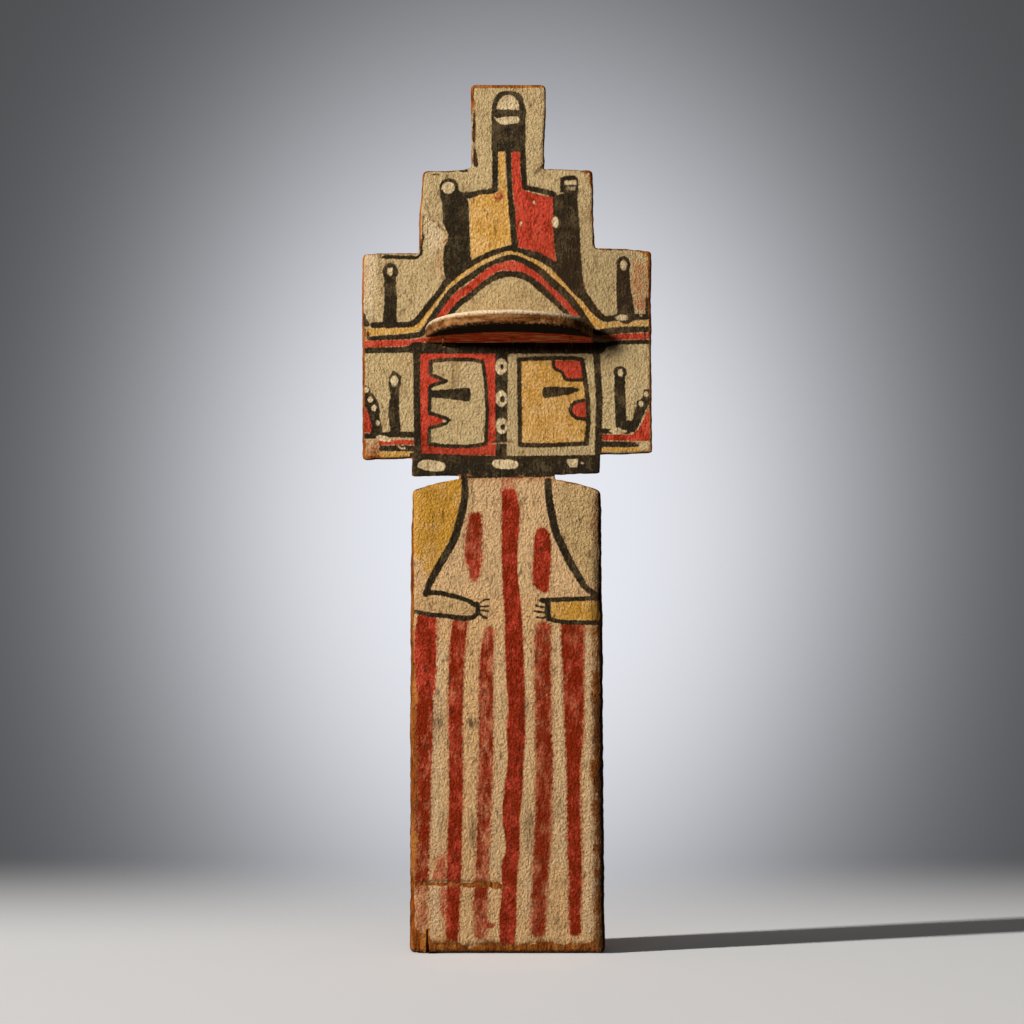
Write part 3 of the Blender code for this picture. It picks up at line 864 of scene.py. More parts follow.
@dataclass(frozen=True)
class Wear:
    """Where the slab is worn, stained, cracked and chipped, and where shade is painted on it."""

    def bare(self) -> list[ShadeRow]:
        """Where the paint is rubbed off down to the wood."""
        return [
            (stroke((-21, 460.5, 4.6), (21, 460.5, 4.2)), 1.2, 1.0),
            (stroke((-19.2, 458, 4), (-18.6, 449, 2.4)), 1.0, 0.9),
            (stroke((-77.4, 371, 3.4), (-77.4, 350, 2.2), (-77.2, 322, 1.6)), 1.0, 0.8),
            (area((-78, 332), (-72.5, 331.5), (-72.5, 324.5), (-78, 324)), 0.8, 0.65),
            (area((-78, 273), (-67.6, 272.6), (-66.6, 262), (-66.6, 260), (-78, 260)), 1.6, 0.45),
            (stroke((-77, 320, 3), (-76.8, 305, 2.6), (-76.8, 275, 2.8)), 0.8, 0.7),
            (area((70, 374), (78, 374), (78, 364), (71.5, 365.5)), 1.4, 0.6),
            (stroke((75.6, 364, 2.6), (76.4, 320, 2.6), (76.8, 262, 2.8)), 0.8, 0.8),
            (area((40, 416), (47, 416), (47, 405), (43.5, 404), (40.5, 408)), 1.6, 0.55),
            (stroke((46, 404), (46.6, 376), width=2.2), 0.8, 0.6),
            (stroke((-45.2, 414, 3), (-46, 404, 2.2), (-46.8, 376, 1.6)), 0.8, 0.8),
            (stroke((-51.6, 240, 2.4), (-51.4, 200, 4.2), (-51.6, 120, 4.6), (-51.8, 0, 6.4)), 1.0, 0.9),
            (stroke((52, 243, 4), (52.2, 192, 4), (52.2, 166, 16), (52.2, 90, 17), (52.6, 0, 15)), 3.0, 0.72),
            (stroke((-52, 150, 10), (-52, 100, 12), (-52, 44, 11)), 2.0, 0.75),
            (area(
                (-53, 8), (-43, 7), (-30, 8), (-19.5, 5.4), (-8, 7), (7, 5), (18, 7.6), (28, 5.4), (40, 6),
                (53, 8), (53, -2), (-53, -2),
            ), 3.4, 0.95),
            (area((-54, 17), (-48, 14), (-43.4, 9), (-43.4, -1), (-54, -1)), 2.6, 0.95),
            (stroke(
                (-51.5, 37, 2.6), (-23.5, 36.2, 2.4), (-14, 36.6, 4), (-4, 35.6, 3.4), (0.5, 34.8, 1),
            ), 0.5, 1.0),
            (area((-26, 254), (-19.5, 254), (-20.5, 249.4), (-25, 248.4)), 0.8, 0.3),
            (stroke(
                (-44, 392.4, 1.2), (-40.9, 388.9, 1.4), (-37.3, 386.2, 1.6), (-35, 383.6, 1.8),
                (-32.5, 381.3, 1.6), (-32, 378.3, 1.4), (-34.4, 376, 1),
            ), 0.5, 0.65),
            (stroke((3, 252), (22, 251.2), width=3.4), 1.0, 0.5),
            (stroke((-21, 253.2, 2.6), (-8, 252.8, 1.6), (20, 253, 2.8)), 0.8, 0.6),
            (stroke((-48.5, 319, 2.2), (-52, 318.4, 1.4)), 0.8, 0.4),
        ]

    def blush(self) -> list[ShadeRow]:
        """Where a reddish stain shows."""
        return [
            (area((-78, 372), (-69, 372), (-71, 361), (-73.6, 350), (-78, 349)), 2.0, 0.5),
            (area((-78, 273), (-66, 272.6), (-65, 260), (-78, 260)), 2.0, 0.7),
            (Dot(47.5, 228, 6, 26), 2.5, 0.6),
            (stroke((-24, 251.8), (24, 251.8), width=4.4), 1.4, 1.0),
            (stroke((-36, 377, 1.9), (-35.8, 366, 1.9), (-35.4, 357, 1.4)), 0.8, 0.7),
            (area((66, 366), (78, 366), (78, 340), (66, 340)), 2.0, 0.85),
            (stroke((47.4, 176, 5), (48, 130, 5), (48, 80, 5), (48, 20, 7)), 2.4, 0.8),
            (stroke((-36, 60, 6), (-36, 10, 8)), 2.4, 0.5),
            (stroke((19, 172, 9), (19, 70, 9), (16.5, 12, 8)), 0.9, 1.0),
            (stroke((34.6, 176, 13), (34.8, 150, 12), (35.2, 130, 9)), 0.9, 1.0),
            (stroke((-52, 195, 5), (-46, 187, 6), (-40, 186, 5)), 2.0, 0.3),
        ]

    def olive(self) -> list[ShadeRow]:
        """Where the ground is olive."""
        return [
            (area((-49, 190), (-24, 187), (-18, 182), (-30, 179.5), (-48, 181.5)), 1.5, 0.55),
            (area((26, 249), (50, 246), (51, 200), (45, 196), (34, 210), (27, 228)), 3.0, 0.8),
            (Dot(-56, 312, 30, 12), 5.0, 0.5), (Dot(0, 345, 50, 26), 6.0, 0.4),
        ]

    def pale(self) -> list[ShadeRow]:
        """Where pale clay shows."""
        return [
            (stroke((-72.5, 368, 7), (-73.5, 338, 5)), 2.0, 1.0),
            (stroke((-38, 35.2), (-24, 34.7), (-15, 34.2), width=0.8), 0.5, 1.0),
            (area((-26, 252), (26, 252), (30, 215), (46, 190), (-40, 190), (-27, 222)), 5.0, 0.3),
            (stroke((43.4, 168, 4), (43.6, 110, 4), (44, 60, 6), (44, 14, 7)), 1.6, 0.6),
            (area((-44, 392), (-38, 388), (-34.5, 382), (-34, 376), (-36, 372), (-42, 371)), 1.6, 1.0),
            (stroke((-36, 160, 8), (-37.5, 110, 7), (-37.5, 56, 7)), 2.5, 0.55),
            (stroke((27, 170, 5), (28, 100, 7), (29, 50, 8)), 2.2, 0.5),
            (stroke((-4.5, 160, 6), (-4.5, 90, 6), (-6, 45, 7)), 2.0, 0.35),
            (stroke((11, 160, 4), (11, 20, 7)), 1.8, 0.35),
            (stroke((-38.5, 34), (-38, 12), width=5), 1.4, 0.6),
        ]

    def dirt_and_shade(self) -> list[ShadeRow]:
        """Where dirt has darkened it, and where shade is painted on it: along the right edge, along the
        foot's bottom, over the crack's upper lip and over the right of the head and face.
        """
        return [
            # Painted shade of the rounded right edge of the body, darkest at the edge.
            (stroke((52, 243, 10), (52.4, 180, 14), (52.6, 90, 14), (53, 0, 14)), 5.0, 1.0),
            # Painted contact shade along the bottom edge of the foot.
            (stroke((-52, 0.6), (53, 0.6), width=2.4), 1.2, 0.9),
            # Painted shadow along the upper lip of the crack across the foot.
            (stroke((-52, 39, 0.7), (-23.5, 38.2, 0.7), (-12, 39, 1), (-4, 37.6, 0.6)), 0.5, 0.8),
            (stroke((-39.5, 232, 4), (-40, 222, 5), (-39, 212, 4)), 3.0, 0.28),
            (stroke((-46, 247, 5), (-40, 243, 5), (-34, 240, 4)), 3.0, 0.2),
            (area((70, 366), (78, 366), (78, 340), (70, 340)), 2.5, 0.35),
            (Dot(11.6, 66, 5, 22), 2.0, 0.75), (Dot(-18.2, 64, 4, 20), 2.0, 0.75),
            (Dot(-18.5, 122, 6, 6), 1.6, 0.85), (Dot(-36.4, 122, 6, 7), 1.8, 0.7),
            (Dot(10.4, 130, 3, 14), 1.5, 0.6), (Dot(27.5, 78, 5, 16), 2.5, 0.4),
            (Dot(26, 18, 10, 8), 3.0, 0.4), (Dot(-36, 124, 7, 20), 3.0, 0.4),
            (Dot(-34.5, 70, 4, 16), 2.0, 0.4),
            (stroke((47.5, 170), (47, 120), (48, 30), width=3), 2.4, 0.5),
            (Dot(8, 120, 3, 40), 2.5, 0.35),
            (stroke((-27.6, 313, 3.5), (-28.6, 300.5, 3)), 2.0, 0.55),
            # On this line and the next, Dot(46, 356) and Dot(24, 292) darken the right of the head and of the
            # face: painted shade. The other dots are dirt.
            (Dot(17, 344, 30, 20), 7.0, 0.2), (Dot(46, 356, 66, 84), 16.0, 0.26),
            (Dot(24, 292, 44, 60), 10.0, 0.2), (Dot(0, 40, 100, 130), 40.0, 0.12),
            (stroke((-47, 265, 8), (47, 265, 6)), 3.0, 0.2),
            (stroke(
                (-40, 7.4, 1.6), (-22, 5.2, 2.2), (-8, 6.4, 1.8), (6, 4.4, 2), (18, 7.2, 2), (34, 5.2, 2),
                (50, 6, 2),
            ), 1.6, 0.6),
        ]

    def shades(self) -> list[Shade]:
        """Soft changes of the ground."""
        rows = {
            Tint.BARE: self.bare(), Tint.BLUSH: self.blush(), Tint.OLIVE: self.olive(),
            Tint.PALE: self.pale(), Tint.DIRT_AND_SHADE: self.dirt_and_shade(),
        }
        return [Shade(tint, *row) for tint, found in rows.items() for row in found]

    def cuts(self) -> list[Cut]:
        """Cracks, chips and the larger pits."""
        return [
            Cut(stroke(
                (-52, 37.2, 2.4), (-38, 36.8, 2.2), (-23.5, 36.3, 2.4), (-14, 36.8, 4.2), (-4, 35.8, 3.6),
                (0.5, 34.9, 0.8),
            ), 0.75, 0.6, 0.12),
            Cut(stroke((-50, 38.6, 0.9), (-38, 38.2, 0.7), (-22, 38, 0.8), (-12, 38.8, 1.2)), 0.6, 0.4),
            Cut(stroke((-17.4, 446, 1), (-17.3, 436, 1.3), (-17.4, 427, 1.3), (-17, 418, 1.9)), 0.9),
            Cut(stroke(
                (-19, 251, 0.6), (-18.6, 246.5, 0.8), (-17.6, 241.5, 0.8), (-18.2, 237, 0.9),
                (-19.8, 234.4, 0.6),
            ), 0.6, 0.35),
            Cut(stroke((7, 235, 0.9), (9, 238.5, 0.9), (10.2, 242, 0.5)), 0.5, 0.35),
            Cut(stroke((5.8, 227, 0.5), (8.8, 230.5, 0.5), (10.8, 232.2, 0.4)), 0.35, 0.3),
            Cut(stroke((-7.4, 242), (-6.4, 236), (-7.6, 230.5), width=0.5), 0.35, 0.3),
            Cut(stroke((-67, 371, 0.7), (-67.1, 365, 0.6), (-67, 359, 0.5)), 0.5, 0.3),
            Cut(stroke((-66.6, 291.6), (-66, 289.5), (-65, 286.5), (-64.8, 282), width=0.5), 0.4, 0.3),
            Cut(stroke((-55.2, 277), (-54.4, 274), width=0.5), 0.4, 0.3),
            Cut(stroke((-7.8, 270.6, 1), (-2, 271, 0.9), (3.6, 270.8, 0.9)), 0.5, 0.4),
            Cut(stroke(
                (-42.5, 396, 0.7), (-41.4, 392, 0.8), (-39.8, 389, 0.8), (-37.2, 387.6, 0.8),
                (-35.6, 385.4, 0.9), (-34, 383, 0.8), (-31.5, 382, 0.6),
            ), 0.5, 0.4),
            Cut(area(
                (-41.5, 390.5), (-37.5, 387.4), (-34.4, 382.6), (-32.3, 380), (-33.4, 375.4), (-37, 372),
                (-42, 374),
            ), 0.22, 1.4, 0),
            Cut(Dot(25.4, 387.2, 3.4, 6), 0.4, 0.7, 0), Cut(Dot(-11.8, 393.3, 1.3, 1.8), 0.6),
            Cut(Dot(-5.9, 382.2, 1.1, 5.6), 0.6), Cut(Dot(-9.1, 385.3, 1, 1.4), 0.5),
            Cut(Dot(9.4, 394.3, 1.3, 1.6), 0.6), Cut(Dot(16.3, 390.6, 1.3, 1.3), 0.5),
            Cut(Dot(15.2, 386.9, 1.2, 1.6), 0.5), Cut(Dot(16.8, 381.6, 1.2, 1.8), 0.5),
            Cut(Dot(19.6, 216.6, 1.1, 2), 0.6),
            Cut(stroke((15.4, 413.5, 2.2), (19, 417, 2)), 0.5, 0.8),
            Cut(stroke((47.6, 369, 1), (47.6, 362.5, 0.8)), 0.5, 0.4),
            Cut(stroke((11.3, 69, 1.1), (12.2, 64, 1.3), (11.6, 58.5, 1)), 0.5, 0.5),
            Cut(stroke((-17.6, 71, 0.9), (-18.6, 64, 1.2), (-17.6, 56, 0.9)), 0.5, 0.5),
            Cut(stroke((-19.6, 123, 1.2), (-17.6, 121.4, 1.4)), 0.6, 0.5),
            Cut(stroke((16.4, 47.4, 0.7), (19.5, 48.2, 0.8), (22.6, 47.4, 0.6)), 0.5, 0.4),
            Cut(stroke((-27, 10.5, 0.6), (-24, 12.2, 0.7), (-21, 14, 0.5)), 0.4, 0.4),
            Cut(stroke((23, 22.5, 0.8), (28, 21.8, 0.9), (34, 22.4, 0.6)), 0.3, 0.5, 0.2),
            Cut(stroke((-38, 5, 0.9), (-20, 4.6, 0.8), (-8, 5.4, 0.7)), 0.5, 0.5),
        ]


@dataclass
class Loop:
    """One closed edge of a board.

    Attributes:
        points: Its places, anticlockwise round the outline and clockwise round a hole.
        rounding: Radius of the rim at each of them, in millimetres.
    """

    points: np.ndarray
    rounding: np.ndarray

    def outward(self) -> np.ndarray:
        """Directions that point out of the wood at each of its places."""
        return outward(self.points)


@dataclass(frozen=True)
class Corner:
    """A corner of an outline, in millimetres.

    Attributes:
        x: Its place across.
        z: Its place along.
        rounding: Radius of its arc.
    """

    x: float
    z: float
    rounding: float = 0.0


def rounded_walk(corners: Sequence[Corner], step: float) -> np.ndarray:
    """Walk once round an outline with its corners rounded.

    Args:
        corners: The corners in order.
        step: Longest step along a straight side.

    Returns:
        The places of the walk, one a row.
    """
    turns = []
    places = [Vector((corner.x, corner.z)) for corner in corners]
    for index, (corner, here) in enumerate(zip(corners, places)):
        before = places[index - 1] - here
        after = places[(index + 1) % len(places)] - here
        reach = min(corner.rounding, before.length / 2, after.length / 2)
        start, end = here + before.normalized() * reach, here + after.normalized() * reach
        shares = (0.0, 0.25, 0.5, 0.75, 1.0) if reach else (0.0,)
        turns += [start.lerp(here, share).lerp(here.lerp(end, share), share) for share in shares]
    walk = []
    for start, end in zip(turns, turns[1:] + turns[:1]):
        pieces = max(1, math.ceil((end - start).length / step))
        walk += [start.lerp(end, piece / pieces) for piece in range(pieces)]
    return np.array(walk)


def outward(points: np.ndarray) -> np.ndarray:
    """Directions that point out of the wood at each place of a closed edge."""
    run = np.roll(points, -1, axis=0) - np.roll(points, 1, axis=0)
    run /= np.maximum(np.linalg.norm(run, axis=1, keepdims=True), TINY)
    return np.stack([run[:, 1], -run[:, 0]], axis=1)


def stitch_holes(places: Sequence[Pair], radius: float, rounding: float = 0.3, sides: int = 18) -> list[Loop]:
    """Round holes through a board.

    Args:
        places: Their middles.
        radius: Their radius, in millimetres.
        rounding: Radius of their rims.
        sides: How many points each has.

    Returns:
        One clockwise edge for each hole.
    """
    turn = np.linspace(0, -2 * math.pi, sides, endpoint=False)
    ring = np.stack([np.cos(turn), np.sin(turn)], axis=1) * radius
    return [Loop(ring + place, np.full(sides, rounding)) for place in places]


@dataclass(frozen=True)
class Patch:
    """A rectangle of the board with its own spacing of points.

    Attributes:
        low: Its lowest corner.
        high: Its highest corner.
        spacing: Gap between neighbouring points, in millimetres.
    """

    low: Pair
    high: Pair
    spacing: float

    def grid(self) -> np.ndarray:
        """Places on a honeycomb grid."""
        rows = np.arange(self.low[1], self.high[1], self.spacing * math.sqrt(3) / 2)
        across = np.arange(self.low[0], self.high[0], self.spacing)
        places = [
            np.stack([across + self.spacing / 2 * (number % 2), np.full(len(across), row)], axis=1)
            for number, row in enumerate(rows)
        ]
        return np.vstack(places)

    def holds(self, spots: np.ndarray) -> np.ndarray:
        """Whether each spot lies in the rectangle."""
        return ((spots >= self.low) & (spots < self.high)).all(1)


class Rim:
    """All the edges of a board together, for measuring from.

    Attributes:
        spots: Places of their points.
        rounding: Radius of the rim there.
        inward: Directions into the wood.
        tree: Finds the nearest of the points.
    """

    def __init__(self, loops: list[Loop]) -> None:
        """Put the edges together, with the middles between their points in the tree too."""
        self.spots = np.vstack([loop.points for loop in loops])
        self.rounding = np.concatenate([loop.rounding for loop in loops])
        self.inward = np.vstack([-loop.outward() for loop in loops])
        self.tree = kdtree.KDTree(2 * len(self.spots))
        middles = np.vstack([(loop.points + np.roll(loop.points, -1, axis=0)) / 2 for loop in loops])
        for number, spot in enumerate(np.vstack([self.spots, middles])):
            self.tree.insert((*spot, 0.0), number % len(self.spots))
        self.tree.balance()

    def nearest(self, spots: np.ndarray) -> Reading:
        """Number of the edge point nearest to each spot, and the gap to it."""
        found = [self.tree.find((*spot, 0.0)) for spot in spots]
        return np.array([hit[1] for hit in found]), np.array([hit[2] for hit in found])


@dataclass
class Sheet:
    """One face of a board, flat for now.

    Attributes:
        spots: Places of its points, those of the edges first.
        triangles: Three points each, anticlockwise.
        rim: Distance of each point from the nearest edge.
        rounding: Radius of the rim there.
    """

    spots: np.ndarray
    triangles: np.ndarray
    rim: np.ndarray
    rounding: np.ndarray

    def rolled(self) -> np.ndarray:
        """How far the rim drops away from the flat face, in millimetres."""
        reach = np.clip(self.rounding - self.rim, 0.0, self.rounding)
        return np.sqrt(np.maximum(self.rounding**2 - reach**2, 0.0)) - self.rounding


@dataclass
class CarvedBoard:
    """A flat board carved by hand: two faces with relief, and edges between them.

    Attributes:
        name: Name of its piece.
        thickness: Thickness of the board, in millimetres.
        wall_levels: Bands of faces in the height of an edge.
        jitter: How far the points of a face stray from their grid, as a share of its spacing.
        rim_shares: Where rings of points follow the edges, as shares of the rim's radius.
        ring_keep: Least gap at which a ring's point stays, as a share of the gap it should have.
        ring_least: Least gap at which a ring's point stays, in millimetres.
        grid_gap: Gap between the rim's roll and the grid, as a share of the spacing.
        rim_reach: Farthest distance from the edge that is kept as a layer.
        layers: Values at the points of the front face, by name.
    """

    name: str
    thickness: float
    wall_levels: int = 8
    jitter: float = 0.12
    rim_shares: tuple[float, ...] = (0.08, 0.3, 0.62, 1.0)
    ring_keep: float = 0.93
    ring_least: float = 0.02
    grid_gap: float = 0.55
    rim_reach: float = 9.0
    layers: dict[str, np.ndarray] = field(default_factory=dict)

    def loops(self) -> list[Loop]:
        """The closed edges, the outline first."""
        raise NotImplementedError

    def relief(self, spots: np.ndarray, front: bool) -> np.ndarray:
        """Height of the surface over the flat face, in millimetres."""
        raise NotImplementedError

    def paint(self, spots: np.ndarray) -> None:
        """Lay the paint of the front face as layers."""
        raise NotImplementedError

    def place(self, flat: np.ndarray, height: np.ndarray) -> np.ndarray:
        """Put places on the board into the frame, in millimetres."""
        raise NotImplementedError

    def bulge(self, edge: np.ndarray, height: np.ndarray) -> np.ndarray:
        """How far the knife left each edge proud or hollow, in millimetres."""
        return Ripple(0.22, 9.0, 6.0, 3.1).on(np.stack([edge.sum(1), height], axis=1)) - 0.1

    def ring_spots(self, rim: Rim) -> np.ndarray:
        """Places that follow the edges within the roll of the rim."""
        count = len(self.rim_shares)
        wanted = np.concatenate([rim.rounding * share for share in self.rim_shares])
        spots = np.tile(rim.spots, (count, 1)) + np.tile(rim.inward, (count, 1)) * wanted[:, None]
        gap = rim.nearest(spots)[1]
        return spots[(gap > wanted * self.ring_keep) & (gap > self.ring_least)]

    def grid_spots(self, rim: Rim, patches: Sequence[Patch]) -> np.ndarray:
        """Places on the patches' grids, inside the roll of the rim."""
        rng = np.random.default_rng(SEED)
        kept = []
        for number, patch in enumerate(patches):
            spots = patch.grid()
            spots += rng.uniform(-1, 1, spots.shape) * patch.spacing * self.jitter
            for finer in patches[number + 1:]:
                spots = spots[~finer.holds(spots)]
            nearest, gap = rim.nearest(spots)
            within = ((spots - rim.spots[nearest]) * rim.inward[nearest]).sum(1) > 0.0
            kept.append(spots[within & (gap > rim.rounding[nearest] + patch.spacing * self.grid_gap)])
        return np.vstack(kept)

    def sheet(self, loops: list[Loop], patches: Sequence[Patch]) -> Sheet:
        """Mesh one face with its edges kept.

        Args:
            loops: The board's closed edges.
            patches: Where its points lie, the finer ones last.

        Returns:
            The flat face.
        """
        rim = Rim(loops)
        spots = np.vstack([rim.spots, self.ring_spots(rim), self.grid_spots(rim, patches)])
        edges, start = [], 0
        for loop in loops:
            count = len(loop.points)
            edges += [(start + number, start + (number + 1) % count) for number in range(count)]
            start += count
        made = delaunay_2d_cdt([Vector(spot) for spot in spots], edges, [], 0, WELD, False)
        spots = np.array([tuple(spot) for spot in made[0]])
        triangles = np.array(made[2])
        triangles = triangles[self.kept(loops, spots, triangles, start)]
        used = np.zeros(len(spots), bool)
        used[triangles.ravel()] = True
        used[:start] = True
        renumber = np.cumsum(used) - 1
        spots, triangles = spots[used], renumber[triangles]
        nearest, gap = rim.nearest(spots)
        gap[:start] = 0.0
        return Sheet(spots, triangles, gap, rim.rounding[nearest])

    @staticmethod
    def kept(loops: list[Loop], spots: np.ndarray, triangles: np.ndarray, count: int) -> np.ndarray:
        """Which triangles lie in the wood.

        Args:
            loops: The board's closed edges.
            spots: Places of all points.
            triangles: Three points each.
            count: How many of the points lie on the edges.

        Returns:
            True for each triangle to keep.
        """
        keep = np.ones(len(triangles), bool)
        doubtful = np.flatnonzero((triangles < count).all(1))
        middles = spots[triangles[doubtful]].mean(1)
        crossed = np.zeros(len(middles), int)
        for loop in loops:
            crossed += Area(tuple(map(tuple, loop.points))).measure(middles)[0] > 0.0
        keep[doubtful] = crossed % 2 == 1
        return keep

    def build(self, patches: Sequence[Patch], back_patches: Sequence[Patch]) -> bpy.types.Object:
        """Build the closed mesh of the board.

        Args:
            patches: Points of the front face.
            back_patches: Points of the back face.

        Returns:
            The piece, at the origin, with its layers as attributes.
        """
        loops = self.loops()
        front, back = self.sheet(loops, patches), self.sheet(loops, back_patches)
        self.paint(front.spots)
        count = sum(len(loop.points) for loop in loops)
        half = self.thickness / 2
        front_height = half + front.rolled() + self.relief(front.spots, True)
        back_height = -half - back.rolled() - self.relief(back.spots, False)
        edge = front.spots[:count]
        ways = np.vstack([loop.outward() for loop in loops])
        places, heights = [front.spots], [front_height]
        for level in range(1, self.wall_levels):
            share = level / self.wall_levels
            height = front_height[:count] * (1 - share) + back_height[:count] * share
            bulge = self.bulge(edge, height) * math.sin(math.pi * share) ** 0.5
            places.append(edge + ways * bulge[:, None])
            heights.append(height)
        flat, height = np.vstack([*places, back.spots]), np.concatenate([*heights, back_height])
        faces = front.triangles.tolist() + self.wall_faces(loops, len(front.spots))
        shift = len(front.spots) + count * (self.wall_levels - 1)
        faces += (back.triangles[:, ::-1] + shift).tolist()
        mesh = bpy.data.meshes.new(self.name)
        mesh.from_pydata((self.place(flat, height) * MM).tolist(), [], faces)
        mesh.shade_smooth()
        self.store_layers(mesh, front, count, 0.5 - height / self.thickness)
        return linked(self.name, mesh)

    def wall_faces(self, loops: list[Loop], first: int) -> list[list[int]]:
        """Faces of the edges between the two faces.

        Args:
            loops: The board's closed edges.
            first: Number of the first point below the front face.

        Returns:
            Four points for each face.
        """
        count = sum(len(loop.points) for loop in loops)
        starts = [0] + [first + count * level for level in range(self.wall_levels)]
        faces, begin = [], 0
        for loop in loops:
            size = len(loop.points)
            for number in range(size):
                here, there = begin + number, begin + (number + 1) % size
                for upper, lower in zip(starts, starts[1:]):
                    faces.append([lower + here, lower + there, upper + there, upper + here])
            begin += size
        return faces

    def store_layers(self, mesh: bpy.types.Mesh, front: Sheet, count: int, level: np.ndarray) -> None:
        """Write the layers of the front face as attributes, carried a little over its rim.

        Args:
            mesh: The board's mesh.
            front: Its front face.
            count: How many points lie on the front face's edges.
            level: How far each point lies from the front to the back, from 0 to 1.
        """
        size = len(front.spots)
        layers = {**self.layers, "face": np.ones(size), "rim": np.minimum(front.rim, self.rim_reach)}
        outside = {pigment.value: -FAR for pigment in Pigment}
        for name, values in layers.items():
            full = np.full(len(level), outside.get(name, 0.0))
            full[:size] = values
            carried = 0.0 if name == "face" else values[:count]
            for start in range(size, size + count * (self.wall_levels - 1), count):
                full[start:start + count] = carried
            self.store(mesh, name, full)
        self.store(mesh, "level", level)

    @staticmethod
    def store(mesh: bpy.types.Mesh, name: str, values: np.ndarray) -> None:
        """Write one attribute of the points."""
        made = mesh.attributes.new(name, "FLOAT", "POINT")
        made.data.foreach_set("value", values.astype(np.float32))


def linked(name: str, data: bpy.types.ID) -> bpy.types.Object:
    """A new object in the scene."""
    obj = bpy.data.objects.new(name, data)
    bpy.context.scene.collection.objects.link(obj)
    return obj


@dataclass(frozen=True)
class PitZone:
    """A stretch of the face with scattered pits.

    Attributes:
        count: How many pits it has.
        across: Where it starts and ends across the board.
        along: Where it starts and ends up the board.
        size: Size of its pits, 1 for the largest.
    """

    count: int
    across: Pair
    along: Pair
    size: float


